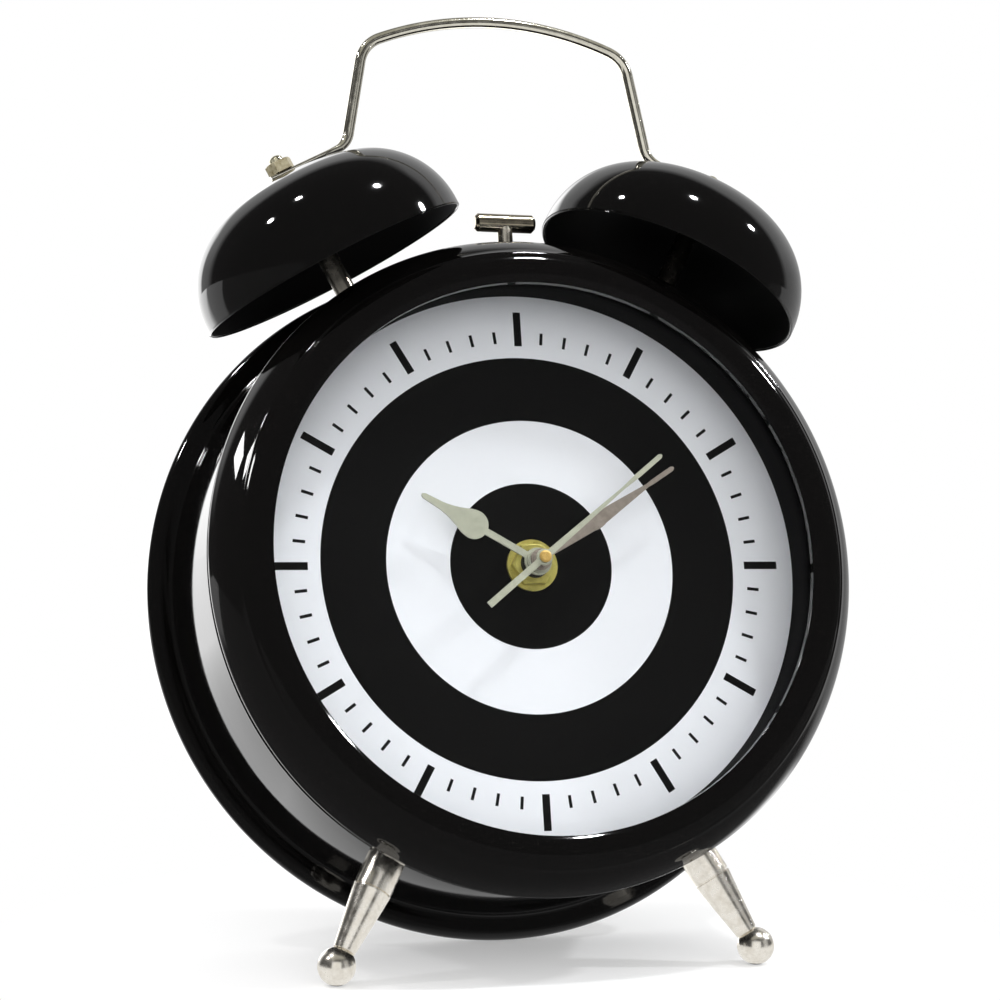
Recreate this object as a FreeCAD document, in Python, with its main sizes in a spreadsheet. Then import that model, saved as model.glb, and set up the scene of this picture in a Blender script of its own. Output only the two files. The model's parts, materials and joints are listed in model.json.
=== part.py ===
import FreeCAD, Part
import math
import os
import re
import Sketcher
from FreeCAD import Placement, Rotation, Vector

# Twin bell alarm clock in millimetres and degrees.
# Each piece is drawn in the clock's own frame: X to the right, Y up the dial towards twelve,
# Z out of the dial towards the viewer, with the dial's face at Z = 0. The whole clock is then
# leaned back until the ball feet and the rear rim stand on the floor, Z up and the front towards -Y.

os.makedirs("parts", exist_ok=True)
doc = FreeCAD.newDocument("TwinBellAlarmClock")

sizes = {
    # Running and assembly clearances
    "shaft_clearance": 0.05,
    "seat_clearance": 0.1,
    "moving_clearance": 0.3,
    "hole_clearance": 0.2,
    # Drum: a pressed cone that opens to the rear and ends in a rolled rim
    "drum_front_radius": 89.05,
    "drum_front_height": 9.0,
    "wall_slope": 4.5,
    "drum_sheet": 1.0,
    "rim_setback": 48.0,
    "rim_bead_radius": 3.8,
    "rim_overhang": 3.26,
    "rim_corner_radius": 1.5,
    "rim_flange_width": 6.5,
    "hole_depth": 6.0,
    # Front bezel: an outer bead, a crease and a convex inner ring that ends in a lip
    "bezel_skirt_height": 2.2,
    "bezel_skirt_radius": 91.3,
    "bezel_bead_height": 9.0,
    "bezel_bead_reach": 92.0,
    "bezel_skirt_curve": 30.0,
    "bezel_bead_curve": 9.3,
    "bezel_crease_height": 19.0,
    "bezel_crease_radius": 85.4,
    "bezel_ring_curve": 6.7,
    "bezel_lip_height": 19.6,
    "bezel_lip_radius": 76.5,
    "bezel_sheet": 1.2,
    # Lens, spacer ring, dial and the ring behind it
    "lens_radius": 83.5,
    "lens_height": 15.6,
    "lens_thickness": 1.8,
    "spacer_front_radius": 76.9,
    "spacer_rear_radius": 78.2,
    "spacer_wall": 1.4,
    "spacer_flange": 1.2,
    "spacer_foot_radius": 88.0,
    "dial_radius": 88.3,
    "dial_thickness": 1.0,
    "support_inner_radius": 80.0,
    "support_outer_radius": 85.4,
    "support_thickness": 1.6,
    # Movement with its threaded neck, nut and washer
    "movement_width": 56.0,
    "movement_depth": 16.0,
    "movement_corner": 3.0,
    "neck_radius": 4.0,
    "neck_height": 4.2,
    "washer_radius": 7.3,
    "washer_thickness": 0.8,
    "nut_flats": 11.0,
    "nut_height": 2.2,
    "nut_face_share": 0.98,
    "nut_margin": 1.0,
    # Hands and the shafts they are pressed on
    "hand_sheet": 0.5,
    "hour_hand_height": 5.75,
    "minute_hand_height": 8.75,
    "second_hand_height": 11.75,
    "hub_rise": 0.65,
    "hub_drop": 1.2,
    "hub_step": 0.6,
    "hour_tube_radius": 2.6,
    "hour_tube_depth": 8.0,
    "minute_arbor_radius": 1.7,
    "minute_arbor_depth": 12.0,
    "second_pin_radius": 0.5,
    "second_pin_depth": 14.0,
    "second_cap_radius": 1.7,
    "second_cap_height": 0.8,
    "hour_hub_radius": 3.9,
    "hour_stem_width": 1.9,
    "hour_bulb_reach": 20.6,
    "hour_bulb_radius": 4.1,
    "hour_bulb_curve": 9.0,
    "hour_shoulder_reach": 24.5,
    "hour_shoulder_width": 5.9,
    "hour_taper_curve": 24.6,
    "hour_neck_reach": 31.0,
    "hour_neck_width": 2.2,
    "hour_tip_reach": 37.3,
    "hour_tip_width": 1.5,
    "hour_hand_angle": 300.3,
    "minute_hub_radius": 3.0,
    "minute_stem_width": 1.7,
    "minute_belly_reach": 20.0,
    "minute_belly_width": 4.0,
    "minute_belly_length": 4.0,
    "minute_belly_curve": 6.7,
    "minute_waist_reach": 39.0,
    "minute_waist_width": 1.05,
    "minute_taper_length": 2.0,
    "minute_tip_reach": 48.5,
    "minute_tip_width": 1.4,
    "minute_hand_angle": 57.1,
    "second_hub_radius": 2.3,
    "second_stem_width": 1.9,
    "second_tail_reach": 21.1,
    "second_waist_reach": 31.0,
    "second_waist_width": 0.8,
    "second_taper_length": 6.0,
    "second_tip_reach": 46.6,
    "second_tip_width": 1.4,
    "second_hand_angle": 51.2,
    # Rear housing with the knobs, the switch and the battery bay
    "housing_side_margin": 9.0,
    "housing_top_margin": 4.0,
    "housing_bottom_margin": 6.0,
    "housing_depth": 33.3,
    "housing_wall": 2.0,
    "housing_corner": 4.0,
    "shelf_height": 6.0,
    "bay_width": 54.0,
    "bay_top": 3.0,
    "bay_bottom": 27.5,
    "bay_depth": 16.4,
    "bay_floor": 1.6,
    "door_recess_depth": 1.8,
    "door_thickness": 1.5,
    "door_width": 58.0,
    "door_top": 3.8,
    "hinge_drop": 29.5,
    "hinge_inset": 1.0,
    "hinge_barrel_radius": 1.2,
    "hinge_barrel_inset": 2.5,
    "hinge_pin_radius": 0.6,
    "hinge_pin_reach": 1.6,
    "thumb_notch_radius": 5.0,
    "cell_radius": 7.1,
    "cell_length": 49.2,
    "cell_spacing": 15.4,
    "nub_radius": 2.7,
    "nub_length": 1.0,
    "contact_height": 10.0,
    "contact_bow": 1.3,
    "contact_sheet": 0.4,
    "knob_side_inset": 10.0,
    "knob_top_inset": 9.0,
    "knob_radius": 6.5,
    "knob_length": 5.0,
    "knob_chamfer": 0.8,
    "knob_flute_radius": 0.9,
    "knob_flute_depth": 0.45,
    "knob_shaft_radius": 1.5,
    "knob_shaft_reach": 4.0,
    "switch_travel": 4.0,
    "switch_tab_width": 5.0,
    "switch_tab_height": 3.8,
    "switch_tab_reach": 2.0,
    "switch_base_width": 14.0,
    "switch_base_height": 7.0,
    "switch_base_sheet": 1.2,
    # Back cover
    "cover_margin": 0.3,
    "cover_sheet": 1.0,
    "dish_depth": 3.2,
    "dish_inset": 11.5,
    "dish_slope_width": 2.6,
    "cover_screw_inset": 3.9,
    "screw_radius": 1.4,
    "screw_head_radius": 2.8,
    "screw_head_height": 1.6,
    "screw_length": 5.0,
    # Hammer, its lever and the motor that swings it
    "hammer_setback": 5.5,
    "hammer_pivot_height": 70.0,
    "hammer_head_height": 102.3,
    "hammer_head_radius": 2.65,
    "hammer_head_length": 18.0,
    "hammer_head_chamfer": 0.9,
    "rod_radius": 2.2,
    "rod_bottom_rise": 5.2,
    "rod_slit_length": 3.9,
    "rod_chamfer": 0.3,
    "lever_sheet": 2.0,
    "lever_bottom_drop": 6.5,
    "lever_top_rise": 8.8,
    "lever_width": 9.0,
    "lever_tongue_width": 5.6,
    "lever_hub_radius": 4.4,
    "pivot_pin_radius": 1.5,
    "pivot_head_radius": 3.0,
    "pivot_head_height": 1.0,
    "crank_height": 52.0,
    "crank_throw": 2.6,
    "crank_radius": 4.4,
    "crank_sheet": 1.3,
    "crank_pin_radius": 0.8,
    "crank_shaft_radius": 1.0,
    "crank_shaft_length": 8.0,
    "bracket_setback": 11.5,
    "bracket_sheet": 1.5,
    "bracket_width": 24.0,
    "bracket_top_margin": 5.5,
    "bracket_foot_reach": 33.0,
    "bracket_screw_offset": 8.0,
    "bracket_screw_setback": 27.0,
    "motor_radius": 10.0,
    "motor_flat_width": 15.4,
    "motor_length": 25.0,
    "motor_boss_radius": 3.0,
    # Bells on their posts, in a plane that leans forward square to the drum wall
    "bell_plane_setback": 16.0,
    "bell_post_angle": 30.0,
    "bell_tilt": 27.3,
    "bell_rise": 9.9,
    "bell_radius": 40.1,
    "bell_height": 30.5,
    "bell_skirt": 2.3,
    "bell_shoulder_radius": 26.0,
    "bell_sheet": 1.0,
    "post_radius": 3.0,
    "stud_radius": 2.0,
    "stud_inside": 6.0,
    "stud_end_reach": 6.6,
    "bell_nut_flats": 7.0,
    "bell_nut_height": 3.2,
    # Handle: round wire whose flattened ends lie on the bells under the nuts
    "handle_top_height": 163.9,
    "handle_arch_radius": 94.0,
    "handle_corner_radius": 9.5,
    "handle_leg_angle": 10.6,
    "handle_foot_radius": 7.0,
    "handle_wire_radius": 1.6,
    "strap_sheet": 1.3,
    "strap_width": 5.6,
    "strap_inner_reach": 17.5,
    "strap_outer_reach": 4.5,
    # Feet: turned posts that end in balls
    "foot_angle": 29.1,
    "foot_setback": 5.6,
    "foot_collar_radius": 5.3,
    "foot_collar_length": 9.5,
    "foot_groove_depth": 0.45,
    "foot_groove_width": 0.6,
    "foot_neck_radius": 3.1,
    "foot_neck_reach": 27.5,
    "foot_ball_radius": 5.15,
    "foot_ball_reach": 32.0,
    "foot_stud_radius": 2.5,
    "foot_stud_inside": 7.0,
    "lock_nut_height": 3.0,
    "lock_nut_gap": 0.35,
    "post_nut_flats": 7.0,
    "foot_nut_flats": 8.0,
}

sheet = doc.addObject("Spreadsheet::Sheet", "Sizes")
for row, (size_name, size) in enumerate(sizes.items(), start=1):
    sheet.set(f"A{row}", size_name)
    sheet.set(f"B{row}", str(size))
    sheet.setAlias(f"B{row}", size_name)
doc.recompute()


def bound(words):
    """Turn the size names of an expression into references to the sheet."""
    return re.sub(r"[a-z]+(_[a-z]+)+", lambda found: "Sizes." + found.group(0), str(words))


def number(words):
    """Work out an expression of the sizes."""
    return float(sheet.evalExpression(bound(words)))


def tie(thing, **values):
    """Bind properties of an object to expressions of the sizes."""
    for name, words in values.items():
        thing.setExpression(name, bound(words))


def new_body(name):
    body = doc.addObject("PartDesign::Body", name)
    body.Label = name
    return body


def origin_plane(body, role):
    return next(plane for plane in body.Origin.OriginFeatures if plane.Role == role)


def new_sketch(body, name, plane, level="0"):
    sketch = body.newObject("Sketcher::SketchObject", name)
    sketch.AttachmentSupport = [(origin_plane(body, plane), "")]
    sketch.MapMode = "FlatFace"
    if level != "0":
        sketch.setExpression("AttachmentOffset.Base.z", bound(level))
    return sketch


def hold(sketch, kind, edge, end, words):
    """Hold one coordinate of a sketch vertex at an expression of the sizes."""
    value = number(words)
    if abs(value) < 1e-9:
        axis = -2 if kind == "DistanceX" else -1
        sketch.addConstraint(Sketcher.Constraint("PointOnObject", edge, end, axis))
        return
    index = sketch.addConstraint(Sketcher.Constraint(kind, -1, 1, edge, end, value))
    sketch.setExpression(f"Constraints[{index}]", bound(words))


def hold_radius(sketch, edge, words):
    index = sketch.addConstraint(Sketcher.Constraint("Radius", edge, number(words)))
    sketch.setExpression(f"Constraints[{index}]", bound(words))


def outline(body, name, points, plane="XZ_Plane", level="0"):
    """Closed outline. A point is (x, y), or (x, y, radius, side) where an arc leads to the next
    point, bulging to the left of the way there for side 1 and to the right for side -1."""
    sketch = new_sketch(body, name, plane, level)
    corners = [Vector(number(point[0]), number(point[1]), 0) for point in points]
    ends = []
    for index, point in enumerate(points):
        start = corners[index]
        stop = corners[(index + 1) % len(corners)]
        if len(point) == 2:
            sketch.addGeometry(Part.LineSegment(start, stop))
            ends.append((1, 2))
            continue
        chord = stop - start
        radius = number(point[2])
        rise = radius - math.sqrt(max(radius ** 2 - chord.Length ** 2 / 4, 0))
        left = Vector(-chord.y, chord.x, 0).normalize()
        middle = (start + stop) * 0.5 + left * point[3] * rise
        sketch.addGeometry(Part.Arc(start, middle, stop))
        ends.append((2, 1) if point[3] > 0 else (1, 2))
    for index, point in enumerate(points):
        following = (index + 1) % len(points)
        sketch.addConstraint(Sketcher.Constraint(
            "Coincident", index, ends[index][1], following, ends[following][0]))
    for index, point in enumerate(points):
        hold(sketch, "DistanceX", index, ends[index][0], point[0])
        hold(sketch, "DistanceY", index, ends[index][0], point[1])
        if len(point) == 4:
            hold_radius(sketch, index, point[2])
    return sketch


def rectangle(body, name, left, right, bottom, top, plane="XY_Plane", level="0"):
    corners = [(left, bottom), (right, bottom), (right, top), (left, top)]
    return outline(body, name, corners, plane, level)


def polygon(body, name, sides, flats, level="0", turn=0):
    """Regular outline across flats, round the frame's Z axis."""
    reach = f"({flats}) / 2 / cos(180 / {sides})"
    steps = [turn + 360 * step / sides for step in range(sides)]
    points = [(f"{reach} * cos({step})", f"{reach} * sin({step})") for step in steps]
    return outline(body, name, points, "XY_Plane", level)


def turned(body, name, points, feature="PartDesign::Revolution"):
    """Revolve an outline of (radius, height) points about the body's Z axis."""
    sketch = outline(body, name + "Outline", points)
    turning = body.newObject(feature, name)
    turning.Profile = sketch
    turning.ReferenceAxis = (sketch, ["V_Axis"])
    turning.Angle = 360
    return turning


def raised(body, name, sketch, length, towards_back=False, both_ways=False):
    pad = body.newObject("PartDesign::Pad", name)
    pad.Profile = sketch
    pad.Reversed = towards_back
    if both_ways:
        pad.SideType = "Symmetric"
    tie(pad, Length=length)
    return pad


def sunk(body, name, sketch, depth, along_normal=False):
    """Cut an outline into the body, against the sketch's normal or along it."""
    doc.recompute()
    before = body.Shape.Volume
    pocket = body.newObject("PartDesign::Pocket", name)
    pocket.Profile = sketch
    pocket.Reversed = along_normal
    tie(pocket, Length=depth)
    doc.recompute()
    if body.Shape.Volume > before - 1e-3:
        raise ValueError(f"{body.Label}: {name} cuts nothing")
    return pocket


def drilled(body, name, radius, length, place):
    """Cut a cylinder that starts at the place and runs along its Z axis."""
    doc.recompute()
    before = body.Shape.Volume
    hole = body.newObject("PartDesign::SubtractiveCylinder", name)
    tie(hole, Radius=radius, Height=length)
    hole.Placement = place
    doc.recompute()
    if body.Shape.Volume > before - 1e-3:
        raise ValueError(f"{body.Label}: {name} cuts nothing")
    return hole


def added_cylinder(body, name, radius, length, place):
    cylinder = body.newObject("PartDesign::AdditiveCylinder", name)
    tie(cylinder, Radius=radius, Height=length)
    cylinder.Placement = place
    return cylinder


def at(x, y, z, turn_axis=None, turn=0):
    """Placement at a point given by expressions, turned about an axis."""
    rotation = Rotation(turn_axis, turn) if turn_axis else Rotation()
    return Placement(Vector(number(x), number(y), number(z)), rotation)


def edges_where(shape, test):
    """Names of the straight edges whose end points pass the test."""
    names = []
    for index, edge in enumerate(shape.Edges, start=1):
        if edge.Curve.TypeId != "Part::GeomLine":
            continue
        if test(edge.Vertexes[0].Point, edge.Vertexes[-1].Point):
            names.append(f"Edge{index}")
    return names


def runs_along_z(start, stop):
    return math.hypot(stop.x - start.x, stop.y - start.y) < 1e-6


def rounded(body, name, radius, test):
    """Fillet the straight edges that pass the test."""
    doc.recompute()
    base = body.Tip
    fillet = body.newObject("PartDesign::Fillet", name)
    fillet.Base = (base, edges_where(base.Shape, test))
    tie(fillet, Radius=radius)
    doc.recompute()
    return fillet


def rounded_circles(body, name, radius, reach, height):
    """Fillet the circular edges about the Z axis that have this radius and height."""
    doc.recompute()
    base = body.Tip
    names = []
    for index, edge in enumerate(base.Shape.Edges, start=1):
        curve = edge.Curve
        if curve.TypeId != "Part::GeomCircle" or abs(curve.Radius - number(reach)) > 1e-4:
            continue
        if abs(curve.Center.z - number(height)) < 1e-4:
            names.append(f"Edge{index}")
    fillet = body.newObject("PartDesign::Fillet", name)
    fillet.Base = (base, names)
    tie(fillet, Radius=radius)
    doc.recompute()
    return fillet


def together(name, bodies):
    """One node that holds several like pieces."""
    group = doc.addObject("Part::Compound", name)
    group.Label = name
    group.Links = bodies
    return group


def wall_radius(height):
    """Outer radius of the drum at a height along the clock's axis."""
    return f"(drum_front_radius + (drum_front_height - ({height})) * tan(wall_slope))"


# The clock's frame

# Heights of the rim's bead and the foot's ball below the clock's axis, along the dial
ball_radius_out = f"({wall_radius('-foot_setback')} + foot_ball_reach * cos(wall_slope))"
foot_radius_height = f"-{ball_radius_out} * cos(foot_angle)"
foot_ball_height = "(-foot_setback + foot_ball_reach * sin(wall_slope))"
bead_front = "(rim_bead_radius - rim_setback)"
bead_reach = f"({wall_radius(bead_front)} + rim_overhang)"
rim_drop = number(f"-{bead_reach} - ({foot_radius_height})")
rim_distance = number(f"rim_setback + {foot_ball_height}")
ball_difference = number("foot_ball_radius - rim_bead_radius")
lean = math.degrees(
    math.atan2(rim_drop, rim_distance)
    + math.asin(ball_difference / math.hypot(rim_drop, rim_distance)))
lean_back = Rotation(Vector(1, 0, 0), 90 - lean)
ball_centre = lean_back.multVec(Vector(0, number(foot_radius_height), number(foot_ball_height)))
clock = Placement(Vector(0, 0, number("foot_ball_radius") - ball_centre.z), lean_back)

# The plane of the bells and the handle
bell_plane = Placement(
    Vector(0, 0, number("-bell_plane_setback")), Rotation(Vector(1, 0, 0), number("wall_slope")))

pieces = {}


def keep(name, piece, place=None):
    """File a finished piece under its node's name, with its place in the clock's frame."""
    piece.Placement = clock.multiply(place) if place else clock
    pieces[name] = piece


# Drum

bead_rear = "(-rim_bead_radius - rim_setback)"
inner_bead = "(rim_bead_radius - drum_sheet)"
opening_reach = f"({bead_reach} - rim_flange_width)"
screw_reach = f"({bead_reach} - cover_screw_inset)"
drum = new_body("case_drum")
turned(drum, "Wall", [
    ("drum_front_radius - drum_sheet", "drum_front_height"),
    ("drum_front_radius", "drum_front_height"),
    (wall_radius(bead_front), bead_front),
    (bead_reach, bead_front, "rim_bead_radius", 1),
    (f"{bead_reach} + rim_bead_radius", "-rim_setback", "rim_bead_radius", 1),
    (bead_reach, bead_rear),
    (opening_reach, bead_rear),
    (opening_reach, f"{bead_rear} + drum_sheet"),
    (bead_reach, f"{bead_rear} + drum_sheet", inner_bead, -1),
    (f"{bead_reach} + {inner_bead}", "-rim_setback", inner_bead, -1),
    (bead_reach, f"{bead_front} - drum_sheet"),
    (f"{wall_radius(bead_front)} - drum_sheet", f"{bead_front} - drum_sheet"),
])
rounded_circles(drum, "RimCorner", "rim_corner_radius", wall_radius(bead_front), bead_front)


def bell_place(side):
    """Frame on a bell's axis: origin on the drum's outer wall, Z out through the bell."""
    post = "sqrt(sin(bell_post_angle)^2 + (cos(bell_post_angle) * cos(wall_slope))^2)"
    lean_share = "cos(bell_post_angle) * sin(wall_slope) * tan(wall_slope)"
    reach = f"{wall_radius('-bell_plane_setback')} / ({post} + {lean_share})"
    foot = Vector(
        side * number(f"{reach} * sin(bell_post_angle)"), number(f"{reach} * cos(bell_post_angle)"), 0)
    upright = Rotation(Vector(1, 0, 0), -90)
    tilted = Rotation(Vector(0, 0, 1), -side * number("bell_tilt"))
    return bell_plane.multiply(Placement(foot, tilted.multiply(upright)))


def foot_place(side):
    """Frame on a foot's axis: origin on the drum's outer wall, Z down through the ball."""
    outward = Rotation(Vector(0, 0, 1), side * number("foot_angle"))
    square = Rotation(Vector(1, 0, 0), 90 - number("wall_slope"))
    height = number("-foot_setback")
    top = outward.multVec(Vector(0, -number(wall_radius("-foot_setback")), height))
    return Placement(top, outward.multiply(square))


sides = {"left": -1, "right": 1}
for side_name, side in sides.items():
    inward = at("0", "0", "-hole_depth / 2")
    drilled(
        drum, f"PostHole{side_name}", "stud_radius + hole_clearance", "hole_depth",
        bell_place(side).multiply(inward))
    drilled(
        drum, f"FootHole{side_name}", "foot_stud_radius + hole_clearance", "hole_depth",
        foot_place(side).multiply(inward))

hammer_swing = "asin(crank_throw / (hammer_pivot_height - crank_height))"
slot_swing = f"(drum_front_radius - hammer_pivot_height) * tan({hammer_swing})"
slot_half_width = f"({slot_swing} + rod_radius + 3 * hole_clearance)"
slot_half_length = "(rod_radius + 3 * hole_clearance)"
slot = rectangle(
    drum, "HammerSlotOutline", f"-{slot_half_width}", slot_half_width,
    f"-hammer_setback - {slot_half_length}", f"-hammer_setback + {slot_half_length}",
    "XZ_Plane", "-hammer_head_height")
sunk(drum, "HammerSlot", slot, "hammer_head_height - hammer_pivot_height", along_normal=True)

for step in range(4):
    turn = Rotation(Vector(0, 0, 1), 45 + 90 * step)
    spot = turn.multVec(Vector(number(screw_reach), 0, number(bead_rear)))
    drilled(
        drum, f"CoverScrewHole{step}", "screw_radius + seat_clearance", "drum_sheet",
        Placement(spot, turn))
keep("case_drum", drum)

# Front bezel

bezel = new_body("front_bezel")
lens_front = "(lens_height + lens_thickness)"
turned(bezel, "Bezel", [
    ("bezel_skirt_radius", "bezel_skirt_height", "bezel_skirt_curve", -1),
    ("bezel_bead_reach", "bezel_bead_height", "bezel_bead_curve", -1),
    ("bezel_crease_radius", "bezel_crease_height", "bezel_ring_curve", -1),
    ("bezel_lip_radius", "bezel_lip_height"),
    ("bezel_lip_radius", f"{lens_front} + moving_clearance"),
    ("bezel_lip_radius + bezel_sheet", f"{lens_front} + moving_clearance"),
    ("bezel_lip_radius + bezel_sheet", "bezel_lip_height - bezel_sheet / 2",
     "bezel_ring_curve - bezel_sheet", 1),
    ("bezel_crease_radius - bezel_sheet * 2 / 3", "bezel_crease_height - bezel_sheet * 3 / 4",
     "bezel_bead_curve - bezel_sheet", 1),
    ("bezel_bead_reach - bezel_sheet", "bezel_bead_height", "bezel_skirt_curve - bezel_sheet", 1),
    ("bezel_skirt_radius - bezel_sheet", "bezel_skirt_height"),
])
keep("front_bezel", bezel)

# Lens, spacer ring, dial plate and support ring

lens = new_body("lens")
turned(lens, "Disc", [
    ("0", "lens_height"),
    ("lens_radius", "lens_height"),
    ("lens_radius", lens_front),
    ("0", lens_front),
])
keep("lens", lens)

spacer = new_body("spacer_ring")
turned(spacer, "Ring", [
    ("spacer_rear_radius", "0"),
    ("spacer_foot_radius", "0"),
    ("spacer_foot_radius", "spacer_flange"),
    ("spacer_rear_radius + spacer_wall", "spacer_flange"),
    ("spacer_front_radius + spacer_wall", "lens_height - spacer_flange"),
    ("lens_radius - hole_clearance", "lens_height - spacer_flange"),
    ("lens_radius - hole_clearance", "lens_height"),
    ("spacer_front_radius", "lens_height"),
])
keep("spacer_ring", spacer)

dial = new_body("dial_plate")
turned(dial, "Plate", [
    ("neck_radius + hole_clearance", "-dial_thickness"),
    ("dial_radius", "-dial_thickness"),
    ("dial_radius", "0"),
    ("neck_radius + hole_clearance", "0"),
])
keep("dial_plate", dial)

support = new_body("support_ring")
turned(support, "Ring", [
    ("support_inner_radius", "-dial_thickness - support_thickness"),
    ("support_outer_radius", "-dial_thickness - support_thickness"),
    ("support_outer_radius", "-dial_thickness"),
    ("support_inner_radius", "-dial_thickness"),
])
keep("support_ring", support)

# Movement case with its stepped bore for the three shafts

movement = new_body("movement_case")
half_case = "movement_width / 2"
knob_offset = f"({half_case} - knob_side_inset)"
knob_height = f"({half_case} - knob_top_inset)"
movement_outline = rectangle(
    movement, "CaseOutline", f"-{half_case}", half_case, f"-{half_case}", half_case,
    level="-dial_thickness")
raised(movement, "Case", movement_outline, "movement_depth", towards_back=True)
rounded(movement, "CaseCorners", "movement_corner", runs_along_z)
added_cylinder(
    movement, "Neck", "neck_radius", "neck_height + dial_thickness * 2",
    at("0", "0", "-dial_thickness * 2"))
bores = {
    "HourBore": ("hour_tube_radius", "hour_tube_depth"),
    "MinuteBore": ("minute_arbor_radius", "minute_arbor_depth"),
    "SecondBore": ("second_pin_radius", "second_pin_depth"),
}
for bore_name, (shaft, depth) in bores.items():
    bottom = f"-({depth}) - moving_clearance"
    drilled(
        movement, bore_name, f"{shaft} + shaft_clearance", f"neck_height - ({bottom})",
        at("0", "0", bottom))
movement_rear = "(-dial_thickness - movement_depth)"
for side in sides.values():
    drilled(
        movement, f"KnobBore{side + 1}", "knob_shaft_radius + shaft_clearance",
        "knob_shaft_reach + moving_clearance",
        at(f"{side} * {knob_offset}", knob_height, movement_rear))
keep("movement_case", movement)

washer = new_body("dial_washer")
turned(washer, "Washer", [
    ("neck_radius + seat_clearance", "0"),
    ("washer_radius", "0"),
    ("washer_radius", "washer_thickness"),
    ("neck_radius + seat_clearance", "washer_thickness"),
])
keep("dial_washer", washer)


def new_nut(name, flats, height, bore):
    """Hexagon nut on the XY plane with its upper corners turned off."""
    nut = new_body(name)
    raised(nut, "Hexagon", polygon(nut, "HexagonOutline", 6, flats), height)
    drilled(nut, "Bore", bore, height, at("0", "0", "0"))
    face = f"({flats}) / 2 * nut_face_share"
    beyond = f"({flats}) / 2 / cos(30) + nut_margin"
    doc.recompute()
    turned(nut, "Corners", [
        (face, height),
        (beyond, height),
        (beyond, f"{height} - ({beyond} - {face}) * tan(30)"),
    ], "PartDesign::Groove")
    return nut


movement_nut = new_nut("movement_nut", "nut_flats", "nut_height", "neck_radius + shaft_clearance")
keep("movement_nut", movement_nut, at("0", "0", "washer_thickness"))

# Hands: flat blades with a hub, pressed on their shafts


def new_hand(name, right_side, height, hub_radius, bore, angle):
    """Blade along +Y whose right edge is given, mirrored to the left, with its hub and bore."""
    hand = new_body(name)
    left_side = []
    for index in reversed(range(len(right_side))):
        bend = right_side[index - 1][2:] if index > 0 else ()
        left_side.append((f"-({right_side[index][0]})", right_side[index][1], *bend))
    blade = outline(hand, "BladeOutline", right_side + left_side, "XY_Plane", height)
    raised(hand, "Blade", blade, "hand_sheet")
    doc.recompute()
    turned(hand, "Hub", [
        ("0", f"{height} - hub_drop"),
        (f"{hub_radius} - hub_step", f"{height} - hub_drop"),
        (f"{hub_radius} - hub_step", height),
        (hub_radius, height),
        (hub_radius, f"{height} + hand_sheet"),
        (f"{hub_radius} - hub_step", f"{height} + hand_sheet"),
        (f"{hub_radius} - hub_step", f"{height} + hand_sheet + hub_rise"),
        ("0", f"{height} + hand_sheet + hub_rise"),
    ])
    drilled(
        hand, "Bore", bore, "hub_drop + hand_sheet + hub_rise", at("0", "0", f"{height} - hub_drop"))
    keep(name, hand, Placement(Vector(), Rotation(Vector(0, 0, 1), -number(angle))))
    return hand


press = "seat_clearance / 5"
new_hand("hour_hand", [
    ("hour_stem_width / 2", "0"),
    ("hour_stem_width / 2", "hour_bulb_reach - sqrt(hour_bulb_radius^2 - (hour_stem_width / 2)^2)",
     "hour_bulb_radius", -1),
    ("hour_bulb_radius", "hour_bulb_reach", "hour_bulb_curve", -1),
    ("hour_shoulder_width / 2", "hour_shoulder_reach", "hour_taper_curve", 1),
    ("hour_neck_width / 2", "hour_neck_reach"),
    ("hour_tip_width / 2", "hour_tip_reach - hour_tip_width / 2"),
    ("hour_tip_width / 5", "hour_tip_reach"),
], "hour_hand_height", "hour_hub_radius", f"hour_tube_radius + {press}", "hour_hand_angle")
new_hand("minute_hand", [
    ("minute_stem_width / 2", "0"),
    ("minute_stem_width / 2", "minute_hub_radius"),
    ("minute_belly_width / 2", "minute_belly_reach - minute_belly_length / 2",
     "minute_belly_curve", -1),
    ("minute_belly_width / 2", "minute_belly_reach + minute_belly_length / 2"),
    ("minute_waist_width / 2", "minute_waist_reach"),
    ("minute_tip_width / 2", "minute_waist_reach + minute_taper_length"),
    ("minute_tip_width / 2", "minute_tip_reach - minute_tip_width / 2"),
    ("minute_tip_width / 5", "minute_tip_reach"),
], "minute_hand_height", "minute_hub_radius", f"minute_arbor_radius + {press}", "minute_hand_angle")
new_hand("second_hand", [
    ("second_stem_width / 2", "-second_tail_reach"),
    ("second_stem_width / 2", "second_hub_radius"),
    ("second_waist_width / 2", "second_waist_reach"),
    ("second_tip_width / 2", "second_waist_reach + second_taper_length"),
    ("second_tip_width / 2", "second_tip_reach - second_tip_width / 2"),
    ("second_tip_width / 5", "second_tip_reach"),
], "second_hand_height", "second_hub_radius", f"second_pin_radius + {press}", "second_hand_angle")

hour_tube = new_body("hour_tube")
turned(hour_tube, "Tube", [
    ("minute_arbor_radius + shaft_clearance", "-hour_tube_depth"),
    ("hour_tube_radius", "-hour_tube_depth"),
    ("hour_tube_radius", "hour_hand_height + hand_sheet + hub_rise"),
    ("minute_arbor_radius + shaft_clearance", "hour_hand_height + hand_sheet + hub_rise"),
])
keep("hour_tube", hour_tube)
minute_arbor = new_body("minute_arbor")
turned(minute_arbor, "Arbor", [
    ("second_pin_radius + shaft_clearance", "-minute_arbor_depth"),
    ("minute_arbor_radius", "-minute_arbor_depth"),
    ("minute_arbor_radius", "minute_hand_height + hand_sheet + hub_rise"),
    ("second_pin_radius + shaft_clearance", "minute_hand_height + hand_sheet + hub_rise"),
])
keep("minute_arbor", minute_arbor)
second_pin = new_body("second_pin")
second_top = "(second_hand_height + hand_sheet + hub_rise)"
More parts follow.
